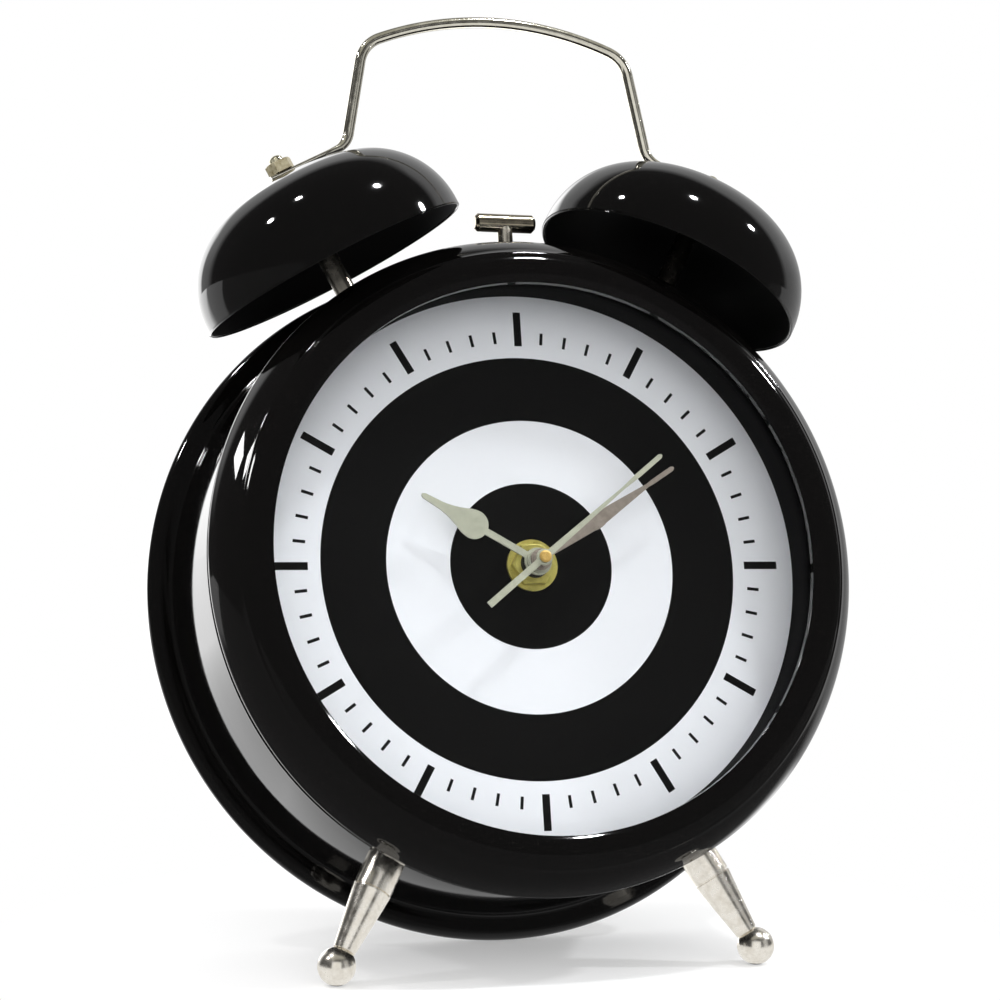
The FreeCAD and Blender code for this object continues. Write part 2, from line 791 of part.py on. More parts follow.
turned(second_pin, "Pin", [
    ("0", "-second_pin_depth"),
    ("second_pin_radius", "-second_pin_depth"),
    ("second_pin_radius", second_top),
    ("second_cap_radius", second_top),
    ("second_cap_radius", f"{second_top} + second_cap_height * 0.6"),
    ("second_cap_radius * 0.7", f"{second_top} + second_cap_height"),
    ("0", f"{second_top} + second_cap_height"),
])
keep("second_pin", second_pin)

# Rear housing: a moulded shell behind the movement, with the battery bay let into its back

housing = new_body("rear_housing")
half_housing = f"({half_case} + housing_side_margin)"
housing_top = f"({half_case} + housing_top_margin)"
housing_bottom = f"({half_case} + housing_bottom_margin)"
housing_rear = f"({movement_rear} - housing_depth)"
raised(housing, "Block", rectangle(
    housing, "BlockOutline", f"-{half_housing}", half_housing, f"-{housing_bottom}", housing_top,
    level=movement_rear), "housing_depth", towards_back=True)
rounded(housing, "Corners", "housing_corner", runs_along_z)
inside = f"({half_housing} - housing_wall)"
sunk(housing, "FrontHollow", rectangle(
    housing, "FrontHollowOutline", f"-{inside}", inside, f"-{housing_bottom} + housing_wall",
    f"{housing_top} - housing_wall", level=movement_rear), "housing_depth - bay_depth - bay_floor")
sunk(housing, "UpperHollow", rectangle(
    housing, "UpperHollowOutline", f"-{inside}", inside, "shelf_height",
    f"{housing_top} - housing_wall", level=movement_rear), "housing_depth - housing_wall")
door_gap = "(door_width / 2 + moving_clearance)"
barrel_room = "(hinge_barrel_radius + moving_clearance)"
sunk(housing, "DoorRecess", rectangle(
    housing, "DoorRecessOutline", f"-{door_gap}", door_gap, f"-hinge_drop - {barrel_room}",
    "door_top + moving_clearance", level=housing_rear), "door_recess_depth", along_normal=True)
sunk(housing, "BarrelGroove", rectangle(
    housing, "BarrelGrooveOutline", f"-{door_gap}", door_gap, f"-hinge_drop - {barrel_room}",
    f"-hinge_drop + {barrel_room}", level=housing_rear), f"hinge_inset + {barrel_room}",
    along_normal=True)
sunk(housing, "BatteryBay", rectangle(
    housing, "BatteryBayOutline", "-bay_width / 2", "bay_width / 2", "-bay_bottom", "bay_top",
    level=housing_rear), "bay_depth", along_normal=True)
half_slot = "(switch_travel / 2 + switch_tab_width / 2 + moving_clearance)"
sunk(housing, "SwitchSlot", rectangle(
    housing, "SwitchSlotOutline", f"-{half_slot}", half_slot,
    f"{knob_height} - switch_tab_height / 2 - moving_clearance",
    f"{knob_height} + switch_tab_height / 2 + moving_clearance",
    level=housing_rear), "housing_wall", along_normal=True)
for side in sides.values():
    drilled(
        housing, f"KnobBore{side + 1}", "knob_shaft_radius + shaft_clearance", "housing_wall",
        at(f"{side} * {knob_offset}", knob_height, housing_rear))
hinge_height = f"({housing_rear} + hinge_inset)"
pin_width = "(door_width + 2 * hinge_pin_reach)"
barrel_width = "(door_width - 2 * hinge_barrel_inset)"
along_x = Vector(0, 1, 0)
drilled(
    housing, "HingeBore", "hinge_pin_radius + shaft_clearance", f"{pin_width} + 2 * moving_clearance",
    at(f"-{pin_width} / 2 - moving_clearance", "-hinge_drop", hinge_height, along_x, 90))
bracket_foot = "bracket_screw_setback"
upright = Rotation(Vector(1, 0, 0), -90)
for side in sides.values():
    spot = at(f"{side} * bracket_screw_offset", f"{housing_top} - housing_wall", f"-{bracket_foot}")
    drilled(
        housing, f"BracketScrewHole{side + 1}", "screw_radius + seat_clearance", "housing_wall",
        Placement(spot.Base, upright))
keep("rear_housing", housing)

# Battery door on its hinge, the cells and their leaf contacts

door = new_body("battery_door")
raised(door, "Panel", rectangle(
    door, "PanelOutline", "-door_width / 2", "door_width / 2", "-hinge_drop", "door_top",
    level=housing_rear), "door_thickness")
added_cylinder(door, "Barrel", "hinge_barrel_radius", barrel_width, at(
    f"-{barrel_width} / 2", "-hinge_drop", hinge_height, along_x, 90))
added_cylinder(door, "Pin", "hinge_pin_radius", pin_width, at(
    f"-{pin_width} / 2", "-hinge_drop", hinge_height, along_x, 90))
drilled(door, "ThumbNotch", "thumb_notch_radius", "door_thickness", at(
    "0", "door_top + thumb_notch_radius / 2", housing_rear))
keep("battery_door", door)

cells_middle = "((bay_top - bay_bottom) / 2)"
cell_level = f"({housing_rear} + bay_depth - moving_clearance - cell_radius)"
cells = []
contacts = []
for side in sides.values():
    cell = new_body(f"BatteryCell{side + 1}")
    half_length = "((cell_length + nub_length) / 2)"
    turned(cell, "Cell", [
        ("0", f"-{half_length}"),
        ("cell_radius", f"-{half_length}"),
        ("cell_radius", f"{half_length} - nub_length"),
        ("nub_radius", f"{half_length} - nub_length"),
        ("nub_radius", half_length),
        ("0", half_length),
    ])
    cell.Placement = at(
        "0", f"{cells_middle} + {side} * cell_spacing / 2", cell_level, along_x, 90 * side)
    cells.append(cell)
    for end in sides.values():
        contact = new_body(f"Contact{side + 1}{end + 1}")
        wall = "(bay_width / 2 - seat_clearance)"
        half_contact = "(contact_height / 2)"
        bow_radius = f"(({half_contact}^2 + contact_bow^2) / (2 * contact_bow))"
        raised(contact, "Leaf", outline(contact, "LeafOutline", [
            (wall, f"-{half_contact}", bow_radius, 1),
            (wall, half_contact),
            (f"{wall} - contact_sheet", half_contact, bow_radius, -1),
            (f"{wall} - contact_sheet", f"-{half_contact}"),
        ], "XY_Plane"), "contact_height", both_ways=True)
        turn = 0 if end > 0 else 180
        contact.Placement = at(
            "0", f"{cells_middle} + {side} * cell_spacing / 2", cell_level, Vector(0, 0, 1), turn)
        contacts.append(contact)
keep("battery_cells", together("battery_cells", cells))
keep("battery_contacts", together("battery_contacts", contacts))

# Knobs and the alarm switch

for knob_name, side in {"time_knob": -1, "alarm_knob": 1}.items():
    knob = new_body(knob_name)
    knob_inner = f"({housing_rear} - moving_clearance)"
    knob_outer = f"({knob_inner} - knob_length)"
    turned(knob, "Knob", [
        ("0", f"{movement_rear} + knob_shaft_reach"),
        ("0", knob_outer),
        ("knob_radius - knob_chamfer", knob_outer),
        ("knob_radius", f"{knob_outer} + knob_chamfer"),
        ("knob_radius", knob_inner),
        ("knob_shaft_radius", knob_inner),
        ("knob_shaft_radius", f"{movement_rear} + knob_shaft_reach"),
    ])
    flute_reach = "(knob_radius + knob_flute_radius - knob_flute_depth)"
    for step in range(12):
        drilled(knob, f"Flute{step}", "knob_flute_radius", "knob_length", at(
            f"{flute_reach} * cos({30 * step})", f"{flute_reach} * sin({30 * step})", knob_outer))
    keep(knob_name, knob, at(f"{side} * {knob_offset}", knob_height, "0"))

switch = new_body("alarm_switch")
switch_inner = f"({housing_rear} + housing_wall + moving_clearance)"
raised(switch, "Base", rectangle(
    switch, "BaseOutline", "-switch_base_width / 2", "switch_base_width / 2",
    "-switch_base_height / 2", "switch_base_height / 2", level=switch_inner), "switch_base_sheet")
raised(switch, "Tab", rectangle(
    switch, "TabOutline", "-switch_tab_width / 2", "switch_tab_width / 2",
    "-switch_tab_height / 2", "switch_tab_height / 2", level=switch_inner),
    "switch_tab_reach + housing_wall + moving_clearance", towards_back=True)
keep("alarm_switch", switch, at("-switch_travel / 2", knob_height, "0"))

# Back cover: a pressed dish with a window for the rear housing

cover = new_body("back_cover")
dish_floor = f"({bead_rear} + dish_depth)"
dish_reach = f"({bead_reach} - dish_inset)"
cover_reach = f"({bead_reach} - cover_margin)"
turned(cover, "Dish", [
    ("0", dish_floor),
    (dish_reach, dish_floor),
    (f"{dish_reach} + dish_slope_width", bead_rear),
    (cover_reach, bead_rear),
    (cover_reach, f"{bead_rear} - cover_sheet"),
    (f"{dish_reach} + dish_slope_width - cover_sheet / 2", f"{bead_rear} - cover_sheet"),
    (f"{dish_reach} - cover_sheet / 2", f"{dish_floor} - cover_sheet"),
    ("0", f"{dish_floor} - cover_sheet"),
])
window = f"({half_housing} + moving_clearance)"
sunk(cover, "Window", rectangle(
    cover, "WindowOutline", f"-{window}", window, f"-{housing_bottom} - moving_clearance",
    f"{housing_top} + moving_clearance", level=dish_floor), "cover_sheet")
rounded(cover, "WindowCorners", "housing_corner", lambda start, stop: (
    runs_along_z(start, stop) and abs(abs(start.x) - number(window)) < 1e-6))
screws = []
for step in range(4):
    turn = Rotation(Vector(0, 0, 1), 45 + 90 * step)
    spot = turn.multVec(Vector(number(screw_reach), 0, number(f"{bead_rear} - cover_sheet")))
    drilled(
        cover, f"ScrewHole{step}", "screw_radius + seat_clearance", "cover_sheet",
        Placement(spot, turn))


def new_screw(name):
    """Pan head screw with its head's seat at Z = 0 and its head towards -Z."""
    screw = new_body(name)
    turned(screw, "Screw", [
        ("0", "-screw_head_height"),
        ("screw_head_radius * 0.6", "-screw_head_height"),
        ("screw_head_radius", "-screw_head_height * 0.4"),
        ("screw_head_radius", "0"),
        ("screw_radius", "0"),
        ("screw_radius", "screw_length - screw_radius"),
        ("0", "screw_length"),
    ])
    return screw


for step in range(4):
    turn = Rotation(Vector(0, 0, 1), 45 + 90 * step)
    spot = turn.multVec(Vector(number(screw_reach), 0, number(f"{bead_rear} - cover_sheet")))
    screw = new_screw(f"CoverScrew{step}")
    screw.Placement = Placement(spot, turn)
    screws.append(screw)
keep("back_cover", cover)
keep("back_cover_screws", together("back_cover_screws", screws))

# Bell drive: a bracket on the rear housing carries the motor and the lever's pivot

bracket = new_body("hammer_bracket")
bracket_front = "(-bracket_setback)"
bracket_rear = "(-bracket_setback - bracket_sheet)"
bracket_top = "(hammer_pivot_height + bracket_top_margin)"
raised(bracket, "Angle", outline(bracket, "AngleOutline", [
    (housing_top, bracket_front),
    (housing_top, "-bracket_foot_reach"),
    (f"{housing_top} + bracket_sheet", "-bracket_foot_reach"),
    (f"{housing_top} + bracket_sheet", bracket_rear),
    (bracket_top, bracket_rear),
    (bracket_top, bracket_front),
], "YZ_Plane"), "bracket_width", both_ways=True)
rounded(bracket, "TopCorners", "bracket_width / 3", lambda start, stop: (
    runs_along_z(start, stop) and start.y > number(bracket_top) - 1e-6))
drilled(
    bracket, "MotorHole", "motor_boss_radius + hole_clearance", "bracket_sheet",
    at("0", "crank_height", bracket_rear))
drilled(
    bracket, "PivotHole", "pivot_pin_radius + shaft_clearance", "bracket_sheet",
    at("0", "hammer_pivot_height", bracket_rear))
for side in sides.values():
    spot = at(f"{side} * bracket_screw_offset", housing_top, f"-{bracket_foot}")
    drilled(
        bracket, f"ScrewHole{side + 1}", "screw_radius + seat_clearance", "bracket_sheet",
        Placement(spot.Base, upright))
keep("hammer_bracket", bracket)

bracket_screws = []
for side in sides.values():
    screw = new_screw(f"BracketScrew{side + 1}")
    spot = at(f"{side} * bracket_screw_offset", f"{housing_top} + bracket_sheet", f"-{bracket_foot}")
    screw.Placement = Placement(spot.Base, Rotation(Vector(1, 0, 0), 90))
    bracket_screws.append(screw)
keep("bracket_screws", together("bracket_screws", bracket_screws))

motor = new_body("bell_motor")
half_flat = "motor_flat_width / 2"
flat_reach = f"sqrt(motor_radius^2 - ({half_flat})^2)"
raised(motor, "Can", outline(motor, "CanOutline", [
    (f"-{flat_reach}", f"-{half_flat}"),
    (flat_reach, f"-{half_flat}", "motor_radius", -1),
    (flat_reach, half_flat),
    (f"-{flat_reach}", half_flat, "motor_radius", -1),
], "XY_Plane", bracket_rear), "motor_length", towards_back=True)
added_cylinder(
    motor, "Boss", "motor_boss_radius", "2 * bracket_sheet",
    at("0", "0", f"{bracket_rear} - bracket_sheet"))
drilled(
    motor, "ShaftBore", "crank_shaft_radius + shaft_clearance", "crank_shaft_length + bracket_sheet",
    at("0", "0", f"{bracket_front} - crank_shaft_length - bracket_sheet"))
keep("bell_motor", motor, at("0", "crank_height", "0"))

crank = new_body("crank_disc")
crank_rear = f"({bracket_front} + moving_clearance)"
lever_rear = "(-hammer_setback - lever_sheet / 2)"
turned(crank, "Disc", [
    ("0", f"{crank_rear} - crank_shaft_length"),
    ("crank_shaft_radius", f"{crank_rear} - crank_shaft_length"),
    ("crank_shaft_radius", crank_rear),
    ("crank_radius", crank_rear),
    ("crank_radius", f"{crank_rear} + crank_sheet"),
    ("0", f"{crank_rear} + crank_sheet"),
])
added_cylinder(
    crank, "CrankPin", "crank_pin_radius", f"{lever_rear} - moving_clearance - {crank_rear}",
    at("0", "crank_throw", crank_rear))
keep("crank_disc", crank, at("0", "crank_height", "0"))

pivot = new_body("hammer_pivot_pin")
hub_front = "(-hammer_setback + lever_sheet / 2 + moving_clearance)"
pivot_shoulder = f"({hub_front} + moving_clearance)"
turned(pivot, "Pin", [
    ("0", bracket_rear),
    ("pivot_pin_radius", bracket_rear),
    ("pivot_pin_radius", pivot_shoulder),
    ("pivot_head_radius", pivot_shoulder),
    ("pivot_head_radius", f"{pivot_shoulder} + pivot_head_height"),
    ("0", f"{pivot_shoulder} + pivot_head_height"),
])
keep("hammer_pivot_pin", pivot, at("0", "hammer_pivot_height", "0"))

# Hammer: slotted lever, rod and head, drawn about the pivot

lever = new_body("hammer_lever")
below = "(crank_height - lever_bottom_drop - hammer_pivot_height)"
raised(lever, "Plate", outline(lever, "PlateOutline", [
    ("-lever_width / 2", below),
    ("lever_width / 2", below),
    ("lever_width / 2", "0"),
    ("lever_tongue_width / 2", "lever_width / 2"),
    ("lever_tongue_width / 2", "lever_top_rise"),
    ("-lever_tongue_width / 2", "lever_top_rise"),
    ("-lever_tongue_width / 2", "lever_width / 2"),
    ("-lever_width / 2", "0"),
], "XY_Plane", lever_rear), "lever_sheet")
added_cylinder(lever, "Hub", "lever_hub_radius", f"{hub_front} - {crank_rear}", at("0", "0", crank_rear))
drilled(
    lever, "PivotBore", "pivot_pin_radius + shaft_clearance", f"{hub_front} - {crank_rear}",
    at("0", "0", crank_rear))
pin_room = "(crank_pin_radius + hole_clearance)"
slot_middle = "(crank_height - hammer_pivot_height)"
slot_reach = f"(crank_throw + {pin_room})"
sunk(lever, "CrankSlot", outline(lever, "CrankSlotOutline", [
    (f"-{pin_room}", f"{slot_middle} - {slot_reach}"),
    (pin_room, f"{slot_middle} - {slot_reach}"),
    (pin_room, f"{slot_middle} + {slot_reach}"),
    (f"-{pin_room}", f"{slot_middle} + {slot_reach}"),
], "XY_Plane", lever_rear), "lever_sheet", along_normal=True)
keep("hammer_lever", lever, at("0", "hammer_pivot_height", "0"))

rod = new_body("hammer_rod")
rod_bottom = "(hammer_pivot_height + rod_bottom_rise)"
rod_top = "(hammer_head_height + hammer_head_radius / 4)"
turned(rod, "Rod", [
    ("0", rod_bottom),
    ("rod_radius - rod_chamfer", rod_bottom),
    ("rod_radius", f"{rod_bottom} + rod_chamfer"),
    ("rod_radius", rod_top),
    ("0", rod_top),
])
slit = rectangle(
    rod, "SlitOutline", "-lever_sheet / 2 - shaft_clearance", "lever_sheet / 2 + shaft_clearance",
    f"{rod_bottom} - rod_chamfer", f"{rod_bottom} + rod_slit_length", "YZ_Plane", "-rod_radius")
sunk(rod, "Slit", slit, "2 * rod_radius", along_normal=True)
hammer_frame = Placement(Vector(0, 0, number("-hammer_setback")), upright)
keep("hammer_rod", rod, hammer_frame)

head = new_body("hammer_head")
half_head = "(hammer_head_length / 2)"
turned(head, "Head", [
    ("0", f"-{half_head}"),
    ("hammer_head_radius - hammer_head_chamfer", f"-{half_head}"),
    ("hammer_head_radius", f"-{half_head} + hammer_head_chamfer"),
    ("hammer_head_radius", f"{half_head} - hammer_head_chamfer"),
    ("hammer_head_radius - hammer_head_chamfer", half_head),
    ("0", half_head),
])
drilled(head, "RodHole", f"rod_radius + {press}", f"hammer_head_radius * 5 / 4 + {press}", at(
    "0", "-hammer_head_radius", "0", Vector(1, 0, 0), -90))
keep("hammer_head", head, at("0", "hammer_head_height", "-hammer_setback", along_x, 90))

# Bells, their posts and nuts

shoulder_span = "(bell_height - bell_skirt)"
crown_radius = (
    f"((bell_radius^2 + {shoulder_span}^2 - 2 * bell_radius * bell_shoulder_radius)"
    f" / (2 * ({shoulder_span} - bell_shoulder_radius)))")
join_sine = f"((bell_radius - bell_shoulder_radius) / ({crown_radius} - bell_shoulder_radius))"
join_cosine = f"sqrt(1 - {join_sine}^2)"
crown_level = f"(bell_height - {crown_radius})"
bell_hole = "(stud_radius + hole_clearance)"
for side_name, side in sides.items():
    bell = new_body(f"{side_name}_bell")
    inner_crown = f"({crown_radius} - bell_sheet)"
    turned(bell, "Dome", [
        ("bell_radius", "0"),
        ("bell_radius", "bell_skirt", "bell_shoulder_radius", -1),
        (f"{crown_radius} * {join_sine}", f"{crown_level} + {crown_radius} * {join_cosine}",
         crown_radius, -1),
        (bell_hole, f"{crown_level} + sqrt({crown_radius}^2 - {bell_hole}^2)"),
        (bell_hole, f"{crown_level} + sqrt({inner_crown}^2 - {bell_hole}^2)", inner_crown, 1),
        (f"{inner_crown} * {join_sine}", f"{crown_level} + {inner_crown} * {join_cosine}",
         "bell_shoulder_radius - bell_sheet", 1),
        ("bell_radius - bell_sheet", "bell_skirt"),
        ("bell_radius - bell_sheet", "0"),
    ])
    rim_place = bell_place(side).multiply(at("0", "0", "bell_rise"))
    keep(f"{side_name}_bell", bell, rim_place)

    post = new_body(f"{side_name}_bell_post")
    shoulder = "(bell_rise + bell_height - bell_sheet - seat_clearance)"
    stud_end = "(bell_rise + bell_height + stud_end_reach)"
    turned(post, "Post", [
        ("0", "-stud_inside"),
        ("stud_radius", "-stud_inside"),
        ("stud_radius", "2 * seat_clearance"),
        ("post_radius", "2 * seat_clearance"),
        ("post_radius", shoulder),
        ("stud_radius", shoulder),
        ("stud_radius", f"{stud_end} - stud_radius / 2", "stud_radius * 1.25", -1),
        ("0", stud_end),
    ])
    keep(f"{side_name}_bell_post", post, bell_place(side))

    nut = new_nut(
        f"{side_name}_bell_nut", "bell_nut_flats", "bell_nut_height", "stud_radius + shaft_clearance")
    nut_level = at("0", "0", "bell_rise + bell_height + strap_sheet + seat_clearance")
    keep(f"{side_name}_bell_nut", nut, bell_place(side).multiply(nut_level))

post_nuts = []
for side_name, side in sides.items():
    nut = new_nut(
        f"PostLockNut{side_name}", "post_nut_flats", "lock_nut_height", "stud_radius + shaft_clearance")
    level = at("0", "0", "-drum_sheet - lock_nut_gap", Vector(1, 0, 0), 180)
    nut.Placement = bell_place(side).multiply(level)
    post_nuts.append(nut)
keep("post_lock_nuts", together("post_lock_nuts", post_nuts))

# Handle, drawn in the bells' plane: on each side half the wire, and the strap it is flattened to

handle = new_body("handle")


def arc_between(centre, start, stop):
    """Short arc about a centre."""
    middle = ((start - centre).normalize() + (stop - centre).normalize()).normalize()
    return Part.Arc(start, centre + middle * (start - centre).Length, stop)


def handle_half(side_name, side):
    """Half the arch, a corner, a leg, a foot bend and a strap, from the apex down to the bell."""
    bell_axis = bell_plane.inverse().multiply(bell_place(side))
    tilt = math.radians(number("bell_tilt"))
    outward = Vector(side * math.cos(tilt), -math.sin(tilt), 0)
    upward = Vector(side * math.sin(tilt), math.cos(tilt), 0)
    strap_level = number("bell_rise + bell_height + strap_sheet / 2 + seat_clearance / 2")
    strap_middle = bell_axis.Base + upward * strap_level
    leg_angle = math.radians(number("handle_leg_angle"))
    leg_way = Vector(-side * math.sin(leg_angle), math.cos(leg_angle), 0)
    leg_normal = Vector(side * leg_way.y, -side * leg_way.x, 0)
    apex = Vector(0, number("handle_top_height"), 0)
    arch_centre = apex - Vector(0, number("handle_arch_radius"), 0)
    corner_radius = number("handle_corner_radius")
    foot_radius = number("handle_foot_radius")

    # The foot bend follows the strap's line, then turns up into the leg
    foot_start = strap_middle - outward * number("strap_inner_reach")
    foot_centre = foot_start + upward * foot_radius
    foot_stop = foot_centre - leg_normal * foot_radius

    # The corner touches the leg's line and, from inside, the arch
    inner_reach = number("handle_arch_radius") - corner_radius
    leg_offset = (foot_stop - arch_centre).dot(leg_normal) - corner_radius
    along_leg = math.sqrt(inner_reach ** 2 - leg_offset ** 2)
    corner_centre = arch_centre + leg_normal * leg_offset + leg_way * along_leg
    corner_start = corner_centre + leg_normal * corner_radius
    corner_stop = corner_centre + (corner_centre - arch_centre).normalize() * corner_radius

    path = new_sketch(handle, f"WirePath{side_name}", "XY_Plane")
    path.addGeometry(arc_between(arch_centre, apex, corner_stop))
    path.addGeometry(arc_between(corner_centre, corner_stop, corner_start))
    path.addGeometry(Part.LineSegment(corner_start, foot_stop))
    path.addGeometry(arc_between(foot_centre, foot_stop, foot_start))
    path.addGeometry(Part.LineSegment(foot_start, foot_start + outward * number("strap_sheet")))
    section = new_sketch(handle, f"WireSection{side_name}", "YZ_Plane")
    section.addGeometry(Part.Circle(apex, Vector(0, 0, 1), number("handle_wire_radius")))
    hold_radius(section, 0, "handle_wire_radius")
    hold(section, "DistanceX", 0, 3, "handle_top_height")
    hold(section, "DistanceY", 0, 3, "0")
    doc.recompute()
    wire = handle.newObject("PartDesign::AdditivePipe", f"Wire{side_name}")
    wire.Profile = section
    wire.Spine = (path, [f"Edge{index}" for index in range(1, 6)])
    doc.recompute()

    strap = new_sketch(handle, f"StrapOutline{side_name}", "XY_Plane")
    half_strap = upward * (number("strap_sheet") / 2)
    strap_end = strap_middle + outward * number("strap_outer_reach")
    strap_start = strap_middle - outward * number("strap_inner_reach - strap_sheet")
    corners = [
        strap_end - half_strap, strap_end + half_strap,
        strap_start + half_strap, strap_start - half_strap,
    ]
    for index, corner in enumerate(corners):
        strap.addGeometry(Part.LineSegment(corner, corners[(index + 1) % 4]))
    for index in range(4):
        strap.addConstraint(Sketcher.Constraint("Coincident", index, 2, (index + 1) % 4, 1))
    raised(handle, f"Strap{side_name}", strap, "strap_width", both_ways=True)
    eye = Placement(strap_middle - upward * number("strap_sheet"), bell_axis.Rotation)
    drilled(handle, f"Eye{side_name}", "stud_radius + hole_clearance", "2 * strap_sheet", eye)


for side_name, side in sides.items():
    handle_half(side_name, side)
keep("handle", handle, bell_plane)

# Feet and their lock nuts

foot_nuts = []
for side_name, side in sides.items():
    foot = new_body(f"{side_name}_foot")
    groove_top = "foot_collar_length"
    groove_bottom = "(foot_collar_length + foot_groove_width)"
    groove_radius = "(foot_neck_radius - foot_groove_depth)"
    ball_start = f"(foot_ball_reach - sqrt(foot_ball_radius^2 - {groove_radius}^2))"
    turned(foot, "Foot", [
        ("0", "-foot_stud_inside"),
        ("foot_stud_radius", "-foot_stud_inside"),
        ("foot_stud_radius", "0"),
        ("foot_collar_radius", "0"),
        ("foot_collar_radius", groove_top),
        ("foot_collar_radius - foot_groove_depth", f"{groove_top} + foot_groove_width / 4"),
        ("foot_collar_radius - foot_groove_depth", f"{groove_bottom} - foot_groove_width / 4"),
        ("foot_collar_radius", groove_bottom),
        ("foot_neck_radius", "foot_neck_reach"),
        (groove_radius, "foot_neck_reach"),
        (groove_radius, ball_start, "foot_ball_radius", -1),
        ("foot_ball_radius", "foot_ball_reach", "foot_ball_radius", -1),
        ("0", "foot_ball_reach + foot_ball_radius"),
    ])
    keep(f"{side_name}_foot", foot, foot_place(side))
    nut = new_nut(
        f"FootLockNut{side_name}", "foot_nut_flats", "lock_nut_height",
        "foot_stud_radius + shaft_clearance")
    level = at("0", "0", "-drum_sheet - lock_nut_gap", Vector(1, 0, 0), 180)
    nut.Placement = foot_place(side).multiply(level)
    foot_nuts.append(nut)
keep("foot_lock_nuts", together("foot_lock_nuts", foot_nuts))

# Stand the clock in the middle of its own box, then check and write every piece

doc.recompute()
box = Part.makeCompound([piece.Shape for piece in pieces.values()]).optimalBoundingBox(False, False)
centring = Vector(0, -(box.YMin + box.YMax) / 2, 0)
for piece in pieces.values():
    piece.Placement = Placement(piece.Placement.Base + centring, piece.Placement.Rotation)
doc.recompute()

for thing in doc.Objects:
    if "Invalid" in thing.State or "Error" in thing.State:
        raise ValueError(f"{thing.Label}: {thing.State}")
for name, piece in pieces.items():
    shape = piece.Shape
    if shape.isNull() or not shape.isValid() or not shape.Solids:
        raise ValueError(f"{name}: no valid solid")
    shape.exportStep(f"parts/{name}.step")

print(f"{len(pieces)} pieces, leaning back {lean:.4f} degrees")
print(f"hammer swing {number(hammer_swing):.2f} degrees")
print(f"dial centre at {clock.Base + centring}")
print(f"size {box.XLength:.1f} x {box.YLength:.1f} x {box.ZLength:.1f} mm, foot at {box.ZMin:.3f}")
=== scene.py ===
import json
import math
import bpy
import bmesh
import numpy as np
from mathutils import Matrix

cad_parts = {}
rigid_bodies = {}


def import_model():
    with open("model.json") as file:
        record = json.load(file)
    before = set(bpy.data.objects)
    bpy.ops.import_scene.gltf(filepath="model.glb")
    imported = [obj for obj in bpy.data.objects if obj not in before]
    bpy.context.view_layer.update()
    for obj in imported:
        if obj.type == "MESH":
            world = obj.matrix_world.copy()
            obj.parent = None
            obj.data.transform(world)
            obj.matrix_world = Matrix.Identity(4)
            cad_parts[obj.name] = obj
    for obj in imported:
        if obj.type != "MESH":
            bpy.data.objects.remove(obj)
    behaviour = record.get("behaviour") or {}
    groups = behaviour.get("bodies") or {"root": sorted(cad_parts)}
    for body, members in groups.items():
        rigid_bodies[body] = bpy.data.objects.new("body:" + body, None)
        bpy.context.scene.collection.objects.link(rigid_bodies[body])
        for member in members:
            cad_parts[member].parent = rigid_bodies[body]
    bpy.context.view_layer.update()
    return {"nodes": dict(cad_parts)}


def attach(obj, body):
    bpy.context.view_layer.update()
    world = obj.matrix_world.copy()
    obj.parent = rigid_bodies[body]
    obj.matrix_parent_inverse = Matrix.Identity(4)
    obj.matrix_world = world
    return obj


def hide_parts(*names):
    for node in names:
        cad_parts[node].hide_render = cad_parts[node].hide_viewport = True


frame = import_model()
print("frame loaded:", len(frame["nodes"]), "nodes")

mm = 0.001
nearly = 1e-6  # millimetres
merged = 1e-7  # metres between two points that are one
caseBody = "case"

# Where the clock's own frame stands: X right, Y up the dial, Z out of the dial, leaning back
clockStand = {"lean": 14.4647, "backward": -17.2304, "up": 109.2278}
bellSlope = 4.5  # the bells' plane leans forward, square to the drum wall
bellSetback = 16.0
drumWall = {"frontRadius": 89.05, "frontHeight": 9.0, "slope": 4.5, "sheet": 1.0}


# Rotations by an angle a about an axis: the two other axes go to (c, s) and (-s, c), c = cos a, s = sin a
def turnX(degrees):
    c, s = math.cos(math.radians(degrees)), math.sin(math.radians(degrees))
    return np.array([[1, 0, 0], [0, c, -s], [0, s, c]])


def turnZ(degrees):
    c, s = math.cos(math.radians(degrees)), math.sin(math.radians(degrees))
    return np.array([[c, -s, 0], [s, c, 0], [0, 0, 1]])


# A place is a rotation R and an origin o in millimetres. A point p in it is at R p + o outside it, and a
# place (R, o) in another one (Q, q) is (Q R, Q o + q).
def place(rotation=None, origin=(0, 0, 0)):
    return (np.eye(3) if rotation is None else rotation, np.array(origin, float))


def joined(outer, inner):
    return (outer[0] @ inner[0], outer[0] @ inner[1] + outer[1])


def placed(points, where):
    return points @ where[0].T + where[1]


clock = place(turnX(90 - clockStand["lean"]), (0, clockStand["backward"], clockStand["up"]))
bellPlane = joined(clock, place(turnX(bellSlope), (0, 0, -bellSetback)))


def wallRadius(height):
    # The cone widens to the rear: r = front radius + (front height - h) tan(slope)
    d = drumWall
    return d["frontRadius"] + (d["frontHeight"] - height) * math.tan(math.radians(d["slope"]))


# Shorthand for the nodes of the materials
def newMaterial(name):
    material = bpy.data.materials.new(name)
    material.use_nodes = True
    tree = material.node_tree
    return material, tree.nodes, tree.links, tree.nodes["Principled BSDF"]


def addNode(nodes, kind, **values):
    # A value is a setting of the node, or else the value of the socket of that name, _ for a space
    node = nodes.new(kind)
    for key, value in values.items():
        if hasattr(node, key):
            setattr(node, key, value)
        else:
            node.inputs[key.replace("_", " ")].default_value = value
    return node


